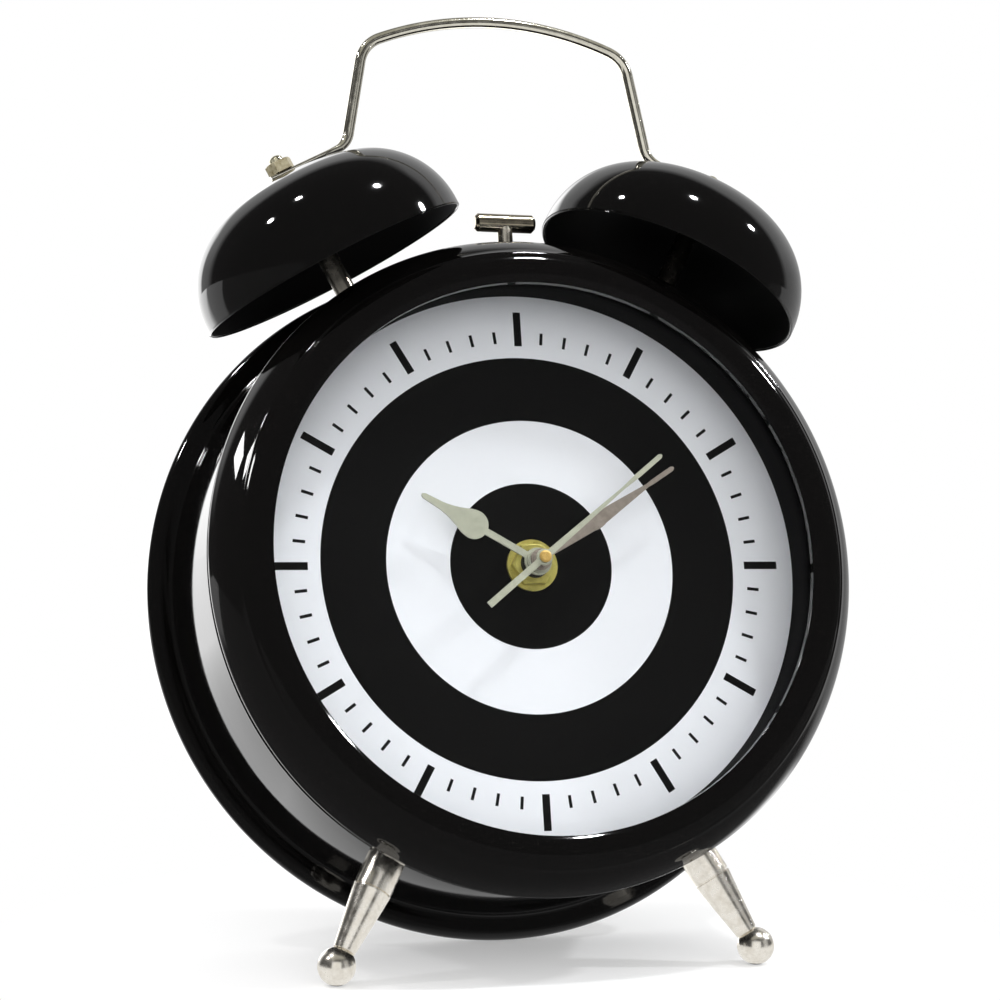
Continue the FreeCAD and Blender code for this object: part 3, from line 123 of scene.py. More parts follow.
def mathNode(nodes, links, operation, first, second=None, clamp=False):
    node = nodes.new("ShaderNodeMath")
    node.operation = operation
    node.use_clamp = clamp
    for index, value in enumerate((first, second)):
        if value is None:
            continue
        if isinstance(value, (int, float)):
            node.inputs[index].default_value = value
        else:
            links.new(value, node.inputs[index])
    return node.outputs[0]


def mathsIn(nodes, links):
    def maths(operation, first, second=None, clamp=False):
        return mathNode(nodes, links, operation, first, second, clamp)
    return maths


def noiseNode(nodes, links, coordinates, scale, detail=2.0, roughness=0.5):
    noise = addNode(nodes, "ShaderNodeTexNoise", Scale=scale, Detail=detail, Roughness=roughness)
    links.new(coordinates, noise.inputs["Vector"])
    return noise.outputs["Fac"]


def rampNode(nodes, links, value, stops):
    stops = list(stops)
    ramp = nodes.new("ShaderNodeValToRGB")
    points = ramp.color_ramp.elements
    while len(points) < len(stops):
        points.new(0.5)
    for point, (position, colour) in zip(points, stops):
        point.position = position
        point.color = (*colour, 1)
    links.new(value, ramp.inputs["Fac"])
    return ramp.outputs["Color"]


def rangeNode(nodes, links, value, low, high, newLow, newHigh):
    node = addNode(
        nodes, "ShaderNodeMapRange",
        From_Min=low, From_Max=high, To_Min=newLow, To_Max=newHigh)
    links.new(value, node.inputs["Value"])
    return node.outputs["Result"]


def bumpNode(nodes, links, height, strength, distance, shader, under=None):
    bump = addNode(nodes, "ShaderNodeBump", Strength=strength, Distance=distance)
    links.new(height, bump.inputs["Height"])
    if under is not None:
        links.new(under, bump.inputs["Normal"])
    if shader is not None:
        links.new(bump.outputs["Normal"], shader.inputs["Normal"])
    return bump.outputs["Normal"]


def mixNode(nodes, links, share, first, second):
    # The first colour where the share is 0 and the second where it is 1; each a tuple or a socket
    mix = nodes.new("ShaderNodeMix")
    mix.data_type = "RGBA"
    links.new(share, mix.inputs[0])
    sockets = [socket for socket in mix.inputs if socket.type == "RGBA"]
    for socket, colour in zip(sockets, (first, second)):
        if isinstance(colour, tuple):
            socket.default_value = (*colour, 1)
        else:
            links.new(colour, socket)
    return next(out for out in mix.outputs if out.type == "RGBA")


def objectCoordinates(nodes):
    return nodes.new("ShaderNodeTexCoord").outputs["Object"]


# In all looks: noise scales per metre, the noise values between which a tone or gloss changes, and
# bumps as strength and depth in metres
enamelLook = {
    "colour": (0.0018, 0.0016, 0.0015), "dust": (0.012, 0.011, 0.01), "roughness": 0.03, "worn": 0.075,
    "ior": 1.6, "ripple": 26.0, "rippleBump": (0.5, 0.0002), "grain": 900.0, "grainBump": (0.05, 0.00002),
    "wipes": 60.0, "wipeRange": (0.35, 0.8), "specks": 2400.0, "speckRange": (0.76, 0.84),
    "insideRoughness": 0.5,
}


def enamel(name, hollow=False):
    # Sprayed gloss enamel: slow ripples in the lacquer, a fine grain, faint wipe marks in the gloss and
    # specks of dust. A hollow piece is rougher where its attribute "inside" is 1.
    look = enamelLook
    material, nodes, links, shader = newMaterial(name)
    spot = objectCoordinates(nodes)
    ripple = noiseNode(nodes, links, spot, look["ripple"], detail=2.0)
    grain = noiseNode(nodes, links, spot, look["grain"], detail=1.0)
    wipes = noiseNode(nodes, links, spot, look["wipes"], detail=5.0, roughness=0.7)
    dust = noiseNode(nodes, links, spot, look["specks"], detail=0.0)
    colour, (clean, dusty) = look["colour"], look["speckRange"]
    speck = rampNode(nodes, links, dust, [(0.0, colour), (clean, colour), (dusty, look["dust"])])
    links.new(speck, shader.inputs["Base Color"])
    gloss = rangeNode(nodes, links, wipes, *look["wipeRange"], look["roughness"], look["worn"])
    if hollow:
        inside = addNode(nodes, "ShaderNodeAttribute", attribute_name="inside").outputs["Fac"]
        rougher = mathNode(nodes, links, "MULTIPLY", inside, look["insideRoughness"])
        gloss = mathNode(nodes, links, "ADD", gloss, rougher)
    links.new(gloss, shader.inputs["Roughness"])
    slow = bumpNode(nodes, links, ripple, *look["rippleBump"], None)
    bumpNode(nodes, links, grain, *look["grainBump"], shader, slow)
    shader.inputs["IOR"].default_value = look["ior"]
    return material


# Plated metals: bright and dull tone, roughness from new to worn
chromeLook = {"bright": (0.78, 0.75, 0.65), "dull": (0.66, 0.63, 0.53), "roughness": 0.1, "worn": 0.18}
nickelLook = {"bright": (0.92, 0.88, 0.8), "dull": (0.78, 0.73, 0.64), "roughness": 0.18, "worn": 0.3}
hammerLook = {"bright": (0.4, 0.355, 0.27), "dull": (0.3, 0.27, 0.205), "roughness": 0.14, "worn": 0.24}
# The posts' stem is a dark copy of the nickel, painted shade inside the bells; its paler tip above a height
# is painted light
stemPaintedShadeLook = {
    "bright": (0.2, 0.185, 0.16), "dull": (0.15, 0.14, 0.12), "roughness": 0.2, "worn": 0.3,
    "paintedLightTip": (0.62, 0.58, 0.42), "paintedLightHeight": 0.216,
}
rodLook = {"bright": (0.78, 0.73, 0.63), "dull": (0.64, 0.6, 0.51), "roughness": 0.18, "worn": 0.3}
platedSkin = {
    "streaks": 420.0, "pits": 1900.0, "toneRange": (0.32, 0.6), "glossRange": (0.3, 0.7),
    "streakBump": (0.04, 0.00004), "pitBump": (0.06, 0.00003),
}


def plated(name, look):
    # Plated metal: fine streaks in tone and gloss, small pits, and, where the look names one, a paler colour
    # above a height, which is painted light on the part that stands out of the shade
    skin = platedSkin
    material, nodes, links, shader = newMaterial(name)
    spot = objectCoordinates(nodes)
    streaks = noiseNode(nodes, links, spot, skin["streaks"], detail=5.0, roughness=0.6)
    pits = noiseNode(nodes, links, spot, skin["pits"], detail=1.0)
    colour = rampNode(nodes, links, streaks, zip(skin["toneRange"], (look["dull"], look["bright"])))
    shader.inputs["Metallic"].default_value = 1.0
    if "paintedLightTip" in look:
        axes = nodes.new("ShaderNodeSeparateXYZ")
        links.new(spot, axes.inputs["Vector"])
        # Paler above the height: painted light on the stud end that stands out of the bell's shade
        above = mathNode(nodes, links, "GREATER_THAN", axes.outputs["Z"], look["paintedLightHeight"])
        colour = mixNode(nodes, links, above, colour, look["paintedLightTip"])
    links.new(colour, shader.inputs["Base Color"])
    rough = rangeNode(nodes, links, streaks, *skin["glossRange"], look["roughness"], look["worn"])
    links.new(rough, shader.inputs["Roughness"])
    slow = bumpNode(nodes, links, streaks, *skin["streakBump"], None)
    bumpNode(nodes, links, pits, *skin["pitBump"], shader, slow)
    return material


metalSkin = {"toneRange": (0.32, 0.66), "glossRange": (0.3, 0.7), "wear": 0.15, "bump": (0.2, 0.00004)}


def metal(name, bright, dark, roughness, grain=500.0, metallic=1.0):
    # Plain worked metal with a grain that changes both tone and gloss
    skin = metalSkin
    material, nodes, links, shader = newMaterial(name)
    mottle = noiseNode(nodes, links, objectCoordinates(nodes), grain, detail=4.0, roughness=0.6)
    tone = rampNode(nodes, links, mottle, zip(skin["toneRange"], (dark, bright)))
    links.new(tone, shader.inputs["Base Color"])
    gloss = rangeNode(nodes, links, mottle, *skin["glossRange"], roughness, roughness + skin["wear"])
    links.new(gloss, shader.inputs["Roughness"])
    bumpNode(nodes, links, mottle, *skin["bump"], shader)
    shader.inputs["Metallic"].default_value = metallic
    return material


plasticSkin = {
    "grain": 1400.0, "cloud": 45.0, "toneRange": (0.3, 0.75), "glossRange": (0.3, 0.7), "wear": 0.12,
    "bumpStrength": 0.4,
}


def plastic(name, colour, lighter, roughness, depth=0.00005, specular=0.5):
    # Moulded plastic: spark-eroded grain, slightly cloudy tone
    skin = plasticSkin
    material, nodes, links, shader = newMaterial(name)
    spot = objectCoordinates(nodes)
    grain = noiseNode(nodes, links, spot, skin["grain"], detail=2.0)
    cloud = noiseNode(nodes, links, spot, skin["cloud"], detail=3.0)
    tone = rampNode(nodes, links, cloud, zip(skin["toneRange"], (colour, lighter)))
    links.new(tone, shader.inputs["Base Color"])
    gloss = rangeNode(nodes, links, grain, *skin["glossRange"], roughness, roughness + skin["wear"])
    links.new(gloss, shader.inputs["Roughness"])
    bumpNode(nodes, links, grain, skin["bumpStrength"], depth, shader)
    shader.inputs["Specular IOR Level"].default_value = specular
    return material


paintSkin = {
    "cloud": 400.0, "pins": 2600.0, "toneRange": (0.3, 0.6), "glossRange": (0.3, 0.7), "wear": 0.15,
    "bump": (0.3, 0.00006), "specular": 0.6,
}


def paint(name, colour, darker, roughness):
    # Thin lacquer on stamped sheet: tiny pinholes and a soft unevenness
    skin = paintSkin
    material, nodes, links, shader = newMaterial(name)
    spot = objectCoordinates(nodes)
    cloud = noiseNode(nodes, links, spot, skin["cloud"], detail=4.0, roughness=0.7)
    pins = noiseNode(nodes, links, spot, skin["pins"], detail=0.0)
    tone = rampNode(nodes, links, cloud, zip(skin["toneRange"], (darker, colour)))
    links.new(tone, shader.inputs["Base Color"])
    gloss = rangeNode(nodes, links, cloud, *skin["glossRange"], roughness, roughness + skin["wear"])
    links.new(gloss, shader.inputs["Roughness"])
    bumpNode(nodes, links, pins, *skin["bump"], shader)
    shader.inputs["Specular IOR Level"].default_value = skin["specular"]
    return material


glassLook = {
    "colour": (0.97, 0.98, 0.985, 1), "shade": (0.96, 0.97, 0.975, 1), "ior": 1.48,
    "smears": 14.0, "smearRange": (0.45, 0.8), "smeared": 0.03,
}


def glass(name):
    # Clear flat glass with faint smears; lamps shine through it
    look = glassLook
    material, nodes, links, shader = newMaterial(name)
    smear = noiseNode(nodes, links, objectCoordinates(nodes), look["smears"], detail=3.0)
    gloss = rangeNode(nodes, links, smear, *look["smearRange"], 0.0, look["smeared"])
    links.new(gloss, shader.inputs["Roughness"])
    shader.inputs["Base Color"].default_value = look["colour"]
    shader.inputs["Transmission Weight"].default_value = 1.0
    shader.inputs["IOR"].default_value = look["ior"]
    clear = addNode(nodes, "ShaderNodeBsdfTransparent", Color=look["shade"])
    rays = nodes.new("ShaderNodeLightPath")
    mix = nodes.new("ShaderNodeMixShader")
    output = nodes["Material Output"]
    links.new(rays.outputs["Is Shadow Ray"], mix.inputs["Fac"])
    links.new(shader.outputs["BSDF"], mix.inputs[1])
    links.new(clear.outputs["BSDF"], mix.inputs[2])
    links.new(mix.outputs["Shader"], output.inputs["Surface"])
    return material


dialPrint = {
    "white": (0.9, 0.905, 0.93), "black": (0.003, 0.0027, 0.0022),
    "discRadius": 23.5, "ringInner": 41.6, "ringOuter": 60.0,
    "longTick": (63.5, 73.5), "longWidth": 2.2, "shortTick": (64.3, 67.8), "shortWidth": 0.9,
    "mapSpan": 200, "paper": 1800.0, "glossRange": (0.3, 0.7), "gloss": (0.3, 0.42),
    "bump": (0.15, 0.00003), "specular": 0.15,
}


def dialFace(name):
    # On the dial's own UV map, which spans mapSpan mm: rings by the distance r from the middle, ticks by
    # the distance |r sin(a - a0)| from the nearest spoke
    d = dialPrint
    material, nodes, links, shader = newMaterial(name)
    uv = nodes.new("ShaderNodeUVMap")
    uv.uv_map = "dialMap"
    scaled = addNode(nodes, "ShaderNodeMapping", vector_type="POINT")
    scaled.inputs["Scale"].default_value = (d["mapSpan"], d["mapSpan"], 1)
    scaled.inputs["Location"].default_value = (-d["mapSpan"] / 2, -d["mapSpan"] / 2, 0)
    links.new(uv.outputs["UV"], scaled.inputs["Vector"])
    axes = nodes.new("ShaderNodeSeparateXYZ")
    links.new(scaled.outputs["Vector"], axes.inputs["Vector"])
    x, y = axes.outputs["X"], axes.outputs["Y"]
    maths = mathsIn(nodes, links)
    angle = maths("ARCTAN2", x, y)
    radius = maths("SQRT", maths("ADD", maths("MULTIPLY", x, x), maths("MULTIPLY", y, y)))

    def between(low, high):
        return maths("MULTIPLY", maths("GREATER_THAN", radius, low), maths("LESS_THAN", radius, high))

    def spokes(count, width, reach):
        step = 2 * math.pi / count
        share = maths("DIVIDE", angle, step)
        off = maths("MULTIPLY", maths("SUBTRACT", share, maths("ROUND", share)), step)
        side = maths("ABSOLUTE", maths("MULTIPLY", maths("SINE", off), radius))
        return maths("MULTIPLY", maths("LESS_THAN", side, width / 2), between(*reach))

    ink = maths("ADD", between(-1, d["discRadius"]), between(d["ringInner"], d["ringOuter"]))
    ink = maths("ADD", ink, spokes(12, d["longWidth"], d["longTick"]))
    ink = maths("ADD", ink, spokes(60, d["shortWidth"], d["shortTick"]), clamp=True)
    links.new(mixNode(nodes, links, ink, d["white"], d["black"]), shader.inputs["Base Color"])
    paper = noiseNode(nodes, links, objectCoordinates(nodes), d["paper"], detail=2.0)
    links.new(rangeNode(nodes, links, paper, *d["glossRange"], *d["gloss"]), shader.inputs["Roughness"])
    bumpNode(nodes, links, paper, *d["bump"], shader)
    shader.inputs["Specular IOR Level"].default_value = d["specular"]
    return material


# Each edge is a range in metres over which the floor changes
paperLook = {
    "white": (0.94, 0.94, 0.94, 1), "roughness": 0.7, "specular": 0.2,
    "fadeEdge": (0.05, 0.15), "least": 0.3,
    "mirrorEdge": (-0.01, 0.06), "mirrored": (0.1, 2.6), "frontEdge": (-0.06, -0.09),
    "sideEdge": (-0.08, -0.11), "slantEdge": (0.0, -0.04), "slant": 0.5,
    "leftEdge": (0.08, -0.12), "left": 0.25, "leftSlant": 1.3,
    "rightEdge": (0.1, 0.2), "right": 0.2, "beyond": 0.11,
}


def floorPaper(name):
    # White sweep: plain white for the camera far away, a real surface with shadow near the clock.
    # Mirror rays see painted light in place of the lit paper: a glow that is dark under the clock as
    # painted shadow, bright behind it, dimmer at the right and the left, and ending in front and at the
    # left.
    p = paperLook
    material, nodes, links, shader = newMaterial(name)
    shader.inputs["Base Color"].default_value = p["white"]
    shader.inputs["Roughness"].default_value = p["roughness"]
    shader.inputs["Specular IOR Level"].default_value = p["specular"]
    spot = objectCoordinates(nodes)
    measured = nodes.new("ShaderNodeVectorMath")
    measured.operation = "LENGTH"
    links.new(spot, measured.inputs[0])
    fade = rangeNode(nodes, links, measured.outputs["Value"], *p["fadeEdge"], p["least"], 1.0)
    rays = nodes.new("ShaderNodeLightPath")
    maths = mathsIn(nodes, links)
    seen = maths("MAXIMUM", rays.outputs["Is Camera Ray"], rays.outputs["Is Transmission Ray"])
    glow = addNode(nodes, "ShaderNodeEmission", Color=(1, 1, 1, 1), Strength=1.0)
    mix = nodes.new("ShaderNodeMixShader")
    links.new(maths("MULTIPLY", seen, fade), mix.inputs["Fac"])
    links.new(shader.outputs["BSDF"], mix.inputs[1])
    links.new(glow.outputs["Emission"], mix.inputs[2])
    axes = nodes.new("ShaderNodeSeparateXYZ")
    links.new(spot, axes.inputs["Vector"])
    x, y = axes.outputs["X"], axes.outputs["Y"]

    def slanted(slant):
        return maths("ADD", y, maths("MULTIPLY", x, slant))

    front = rangeNode(nodes, links, y, *p["frontEdge"], 0.0, 1.0)
    side = rangeNode(nodes, links, x, *p["sideEdge"], 0.0, 1.0)
    corner = rangeNode(nodes, links, slanted(p["slant"]), *p["slantEdge"], 0.0, 1.0)
    strength = maths("SUBTRACT", 1.0, maths("MAXIMUM", front, maths("MINIMUM", side, corner)))
    near = rangeNode(nodes, links, y, *p["mirrorEdge"], *p["mirrored"])
    left = rangeNode(nodes, links, slanted(p["leftSlant"]), *p["leftEdge"], 1.0, p["left"])
    right = rangeNode(nodes, links, x, *p["rightEdge"], 1.0, p["right"])
    for share in (near, left, right):
        strength = maths("MULTIPLY", strength, share)
    strength = maths("MAXIMUM", strength, p["beyond"])
    # Glow for mirror rays alone: painted shadow under the clock, painted light behind it
    mirror = addNode(nodes, "ShaderNodeEmission", Color=(1, 1, 1, 1))
    links.new(strength, mirror.inputs["Strength"])
    final = nodes.new("ShaderNodeMixShader")
    links.new(rays.outputs["Is Glossy Ray"], final.inputs["Fac"])
    links.new(mix.outputs["Shader"], final.inputs[1])
    links.new(mirror.outputs["Emission"], final.inputs[2])
    links.new(final.outputs["Shader"], nodes["Material Output"].inputs["Surface"])
    return material


looks = {
    "blackEnamel": enamel("blackEnamel"),
    "bellEnamel": enamel("bellEnamel", hollow=True),
    "handleChrome": plated("handleChrome", chromeLook),
    "satinNickel": plated("satinNickel", nickelLook),
    "hammerNickel": plated("hammerNickel", hammerLook),
    "postSteelPaintedShade": plated("postSteelPaintedShade", stemPaintedShadeLook),
    "rodSteel": plated("rodSteel", rodLook),
    "brassWasher": metal("brassWasher", (0.7, 0.62, 0.17), (0.5, 0.43, 0.1), 0.25, 260.0, 0.35),
    "brassCap": metal("brassCap", (0.72, 0.47, 0.13), (0.55, 0.33, 0.08), 0.35, 900.0, 0.3),
    "paleBrass": metal("paleBrass", (0.66, 0.6, 0.42), (0.4, 0.34, 0.2), 0.25, 600.0, 0.8),
    "zincSteel": metal("zincSteel", (0.55, 0.56, 0.58), (0.4, 0.41, 0.43), 0.25, 300.0),
    "springSteel": metal("springSteel", (0.72, 0.72, 0.72), (0.6, 0.6, 0.6), 0.15),
    "motorCan": metal("motorCan", (0.6, 0.6, 0.6), (0.5, 0.5, 0.5), 0.3, 200.0),
    "handPaint": paint("handPaint", (0.46, 0.465, 0.35), (0.38, 0.385, 0.29), 0.35),
    # A darker, browner copy of the hands' paint: painted shade on the minute hand
    "minutePaintShaded": paint("minutePaintShaded", (0.33, 0.275, 0.225), (0.22, 0.18, 0.145), 0.35),
    "milkyPlastic": plastic("milkyPlastic", (0.66, 0.68, 0.58), (0.8, 0.8, 0.72), 0.22),
    "spacerBlack": plastic("spacerBlack", (0.002, 0.002, 0.0022), (0.003, 0.003, 0.003), 0.7, 0.00003, 0.02),
    "casePlastic": plastic("casePlastic", (0.012, 0.012, 0.012), (0.02, 0.02, 0.02), 0.42),
    "greyPlastic": plastic("greyPlastic", (0.2, 0.2, 0.2), (0.24, 0.24, 0.24), 0.5),
    "cellWrap": plastic("cellWrap", (0.05, 0.16, 0.09), (0.06, 0.2, 0.1), 0.25),
    "clearGlass": glass("clearGlass"),
    "dialFace": dialFace("dialFace"),
    "floorPaper": floorPaper("floorPaper"),
}

# The looks that the soft boxes light
platedLooks = {
    "handleChrome", "satinNickel", "hammerNickel", "postSteelPaintedShade", "rodSteel", "paleBrass", "zincSteel",
}

# The look of each CAD node, also of those that a piece below replaces
nodeLooks = {
    "lens": "clearGlass", "support_ring": "greyPlastic", "movement_case": "casePlastic",
    "dial_washer": "brassWasher", "movement_nut": "brassWasher", "hour_hand": "handPaint",
    "minute_hand": "minutePaintShaded", "second_hand": "handPaint", "hour_tube": "milkyPlastic",
    "minute_arbor": "milkyPlastic", "second_pin": "brassCap", "rear_housing": "casePlastic",
    "battery_door": "casePlastic", "battery_cells": "cellWrap", "battery_contacts": "springSteel",
    "time_knob": "casePlastic", "alarm_knob": "casePlastic", "alarm_switch": "casePlastic",
    "back_cover": "casePlastic", "back_cover_screws": "zincSteel", "hammer_bracket": "zincSteel",
    "bracket_screws": "zincSteel", "bell_motor": "motorCan", "crank_disc": "milkyPlastic",
    "hammer_pivot_pin": "zincSteel", "hammer_lever": "zincSteel", "hammer_rod": "rodSteel",
    "hammer_head": "hammerNickel", "left_bell": "blackEnamel", "right_bell": "blackEnamel",
    "left_bell_post": "satinNickel", "right_bell_post": "satinNickel",
    "left_bell_nut": "paleBrass", "right_bell_nut": "paleBrass", "post_lock_nuts": "zincSteel",
    "handle": "handleChrome", "left_foot": "satinNickel", "right_foot": "satinNickel",
    "foot_lock_nuts": "zincSteel", "case_drum": "blackEnamel", "front_bezel": "blackEnamel",
    "spacer_ring": "spacerBlack", "dial_plate": "dialFace",
}
for nodeName, look in nodeLooks.items():
    mesh = frame["nodes"][nodeName].data
    mesh.materials.clear()
    mesh.materials.append(looks[look])
print("materials made:", len(looks))


def addPiece(name, points, faces, look, node, sharp=35.0):
    # A mesh from points in metres and faces in place of a CAD node: doubles merged, outward normals,
    # smooth up to the sharp angle
    mesh = bpy.data.meshes.new(name)
    mesh.from_pydata(points.tolist(), [], [list(map(int, face)) for face in faces])
    shape = bmesh.new()
    shape.from_mesh(mesh)
    bmesh.ops.remove_doubles(shape, verts=shape.verts, dist=merged)
    bmesh.ops.recalc_face_normals(shape, faces=shape.faces)
    shape.to_mesh(mesh)
    shape.free()
    mesh.polygons.foreach_set("use_smooth", np.ones(len(mesh.polygons), bool))
    mesh.set_sharp_from_angle(angle=math.radians(sharp))
    mesh.materials.append(looks[look])
    piece = bpy.data.objects.new(name, mesh)
    bpy.context.scene.collection.objects.link(piece)
    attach(piece, caseBody)
    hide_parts(node)
    return piece


def meshPoints(mesh):
    # In millimetres
    flat = np.zeros(len(mesh.vertices) * 3)
    mesh.vertices.foreach_get("co", flat)
    return flat.reshape(-1, 3) / mm


# Faces of a grid of rows and columns of points, closed one way or both: the point in row i and column j
# has the number i columns + j
def gridFaces(rows, columns, closeRows=False, closeColumns=False):
    i = np.arange(rows if closeRows else rows - 1)
    j = np.arange(columns if closeColumns else columns - 1)
    i, j = (part.ravel() for part in np.meshgrid(i, j, indexing="ij"))
    k, m = (i + 1) % rows, (j + 1) % columns
    return np.stack([i * columns + j, k * columns + j, k * columns + m, i * columns + m], 1)


# Section of lines and arcs: (x, y), or (x, y, radius, side) where an arc leads to the next point,
# bulging to the left of the way there for side 1. Lines are cut to the longest step.
def sectionPoints(corners, arcStep=5.0, lineStep=4.0, closed=True):
    found = []
    count = len(corners)
    for index, corner in enumerate(corners):
        start = np.array(corner[:2], float)
        if not closed and index == count - 1:
            found.append(start[None])
            break
        stop = np.array(corners[(index + 1) % count][:2], float)
        chord = stop - start
        length = np.hypot(*chord)
        if len(corner) == 2:
            steps = max(1, int(math.ceil(length / lineStep)))
            share = np.arange(steps)[:, None] / steps
            found.append(start + chord * share)
            continue
        radius, side = corner[2], corner[3]
        left = np.array([-chord[1], chord[0]]) / length
        half = math.asin(min(1, length / 2 / radius))
        centre = (start + stop) / 2 - left * side * radius * math.cos(half)
        steps = max(2, int(math.ceil(math.degrees(2 * half) / arcStep)))
        first = math.atan2(*(start - centre)[::-1])
        angles = first - side * 2 * half * np.arange(steps) / steps
        found.append(centre + radius * np.stack([np.cos(angles), np.sin(angles)], 1))
    return np.concatenate(found)


# Revolved section: point = (r cos a, r sin a, h) for each (r, h) of the section and each angle a
def turnedPoints(section, angles):
    radius, height = section[:, 0][:, None], section[:, 1][:, None]
    grid = [radius * np.cos(angles), radius * np.sin(angles), height + 0 * angles]
    return np.stack(grid, 2).reshape(-1, 3)


def turnedPiece(name, section, where, look, node, around, closed=True, sharp=35.0):
    angles = np.arange(around) * 2 * math.pi / around
    points = placed(turnedPoints(section, angles), where) * mm
    faces = gridFaces(len(section), around, closeRows=closed, closeColumns=True)
    return addPiece(name, points, faces, look, node, sharp)


# Drum: cone, hollow, rolled rim with a nearly straight outer side, rear lip. The hammer's slot is left out
# of the grid at the top, where slotColumns columns span its width.
drumLook = {
    "hollow": 1.4, "hollowReach": 1.3, "hollowSink": 0.1, "beadRadius": 3.8, "setback": 48.0,
    "reach": 96.497, "opening": 89.997, "frontTurn": 2.9, "frontCut": (0.3, 0.4), "crown": 14.0,
    "crownRise": 0.1, "rearStart": (0.2, 1.3), "slotHalfWidth": 5.6, "slotFront": -2.7, "slotRear": -8.3,
    "slotColumns": 8, "around": 360,
}


def drumPiece():
    d = drumLook
    beadFront = d["beadRadius"] - d["setback"]
    beadRear = -d["beadRadius"] - d["setback"]
    foot = wallRadius(beadFront)
    face = d["reach"] + d["beadRadius"] - d["crownRise"]
    out = sectionPoints([
        (drumWall["frontRadius"], drumWall["frontHeight"]), (wallRadius(d["slotFront"]), d["slotFront"]),
        (wallRadius(d["slotRear"]), d["slotRear"]),
        (foot - d["hollowSink"], beadFront + d["hollowReach"], d["hollow"], -1),
        (foot + d["hollowReach"], beadFront),
        (face - d["frontTurn"] + d["frontCut"][0], beadFront, d["frontTurn"], 1),
        (face, beadFront - d["frontTurn"] + d["frontCut"][1], d["crown"], 1),
        (face - d["rearStart"][0], -d["setback"] - d["rearStart"][1], d["beadRadius"], 1),
        (d["reach"], beadRear), (d["opening"], beadRear),
    ], arcStep=7.5, lineStep=2.8, closed=False)
    # The inner shell is one sheet along the inward normal (dy, -dx) of the section
    normal = np.gradient(out, axis=0)
    normal = np.stack([normal[:, 1], -normal[:, 0]], 1)
    normal /= np.hypot(normal[:, 0], normal[:, 1])[:, None]
    inner = out + normal * drumWall["sheet"]
    half = math.degrees(math.asin(d["slotHalfWidth"] / wallRadius(d["slotFront"])))
    angles = np.radians(90 + np.concatenate([
        np.linspace(-half, half, d["slotColumns"] + 1), np.linspace(half, 360 - half, d["around"])[1:-1]]))
    points = np.concatenate([turnedPoints(shell, angles) for shell in (out, inner)])
    rows, columns = len(out), len(angles)
    faces = gridFaces(rows, columns, closeColumns=True)
    row, column = faces[:, 0] // columns, faces[:, 0] % columns
    inSlot = (column < d["slotColumns"]) & (out[row, 1] <= d["slotFront"] + nearly)
    inSlot &= out[row + 1, 1] >= d["slotRear"] - nearly
    kept = faces[~inSlot]
    count = rows * columns
    # Close the two shells along the front edge, the rear lip and the slot
    edges = np.concatenate([kept[:, [0, 1]], kept[:, [1, 2]], kept[:, [2, 3]], kept[:, [3, 0]]])
    key = np.sort(edges, 1)
    _, index, hits = np.unique(key, axis=0, return_index=True, return_counts=True)
    border = edges[index[hits == 1]]
    strips = np.stack([border[:, 1], border[:, 0], border[:, 0] + count, border[:, 1] + count], 1)
    faces = np.concatenate([kept, kept[:, ::-1] + count, strips])
    addPiece("drum", placed(points, clock) * mm, faces, "blackEnamel", "case_drum", sharp=40.0)


drumPiece()
print("drum made")

# Front bezel, as (radius, height) where each arc starts: skirt, turn, flat bead, rolled edge, ring, lip
bezelLook = {
    "skirt": (91.3, 2.2), "skirtCurve": 30.0, "bead": (92.0, 7.9), "turn": 3.0, "slope": (91.72, 9.35),
    "beadCurve": 20.5, "edge": (85.75, 18.7), "edgeCurve": 0.9, "crease": (85.1, 19.2), "creaseSheet": 0.8,
    "ringCurve": 6.7, "lipTop": (76.7, 19.62), "lip": (76.5, 19.6), "lipCurve": 0.25, "lensFront": 17.4,
    "lensGap": 0.3, "wallGap": 0.08, "sheet": 1.2,
}


def bezelPiece():
    b = bezelLook
    sheet, lip, lens = b["sheet"], b["lip"], b["lensFront"] + b["lensGap"]
    section = sectionPoints([
        (*b["skirt"], b["skirtCurve"], -1), (*b["bead"], b["turn"], -1),
        (*b["slope"], b["beadCurve"], -1), (*b["edge"], b["edgeCurve"], -1),
        (*b["crease"], b["ringCurve"], -1), (*b["lipTop"], b["lipCurve"], -1),
        (lip[0], lip[1] - b["lipCurve"]), (lip[0], lens), (lip[0] + sheet, lens),
        (lip[0] + sheet, lip[1] - sheet / 2, b["ringCurve"] - sheet, 1),
        (b["crease"][0] - b["creaseSheet"], b["crease"][1] - sheet),
        (b["bead"][0] - sheet, b["bead"][1]), (wallRadius(b["skirt"][1]) + b["wallGap"], b["skirt"][1]),
    ], arcStep=4.0, lineStep=1.5)
    turnedPiece("bezel", section, clock, "blackEnamel", "front_bezel", 360, sharp=50.0)


bezelPiece()

spacerLook = {
    "rear": 78.2, "front": 76.9, "foot": 88.0, "wall": 1.4, "flange": 1.2, "height": 15.6, "rim": 83.3,
}


def spacerPiece():
    s = spacerLook
    section = sectionPoints([
        (s["rear"], 0.0), (s["foot"], 0.0), (s["foot"], s["flange"]), (s["rear"] + s["wall"], s["flange"]),
        (s["front"] + s["wall"], s["height"] - s["flange"]), (s["rim"], s["height"] - s["flange"]),
        (s["rim"], s["height"]), (s["front"], s["height"]),
    ])
    turnedPiece("spacer", section, clock, "spacerBlack", "spacer_ring", 360)


spacerPiece()

dialSizes = {"radius": 88.3, "hole": 4.2, "sheet": 1.0}


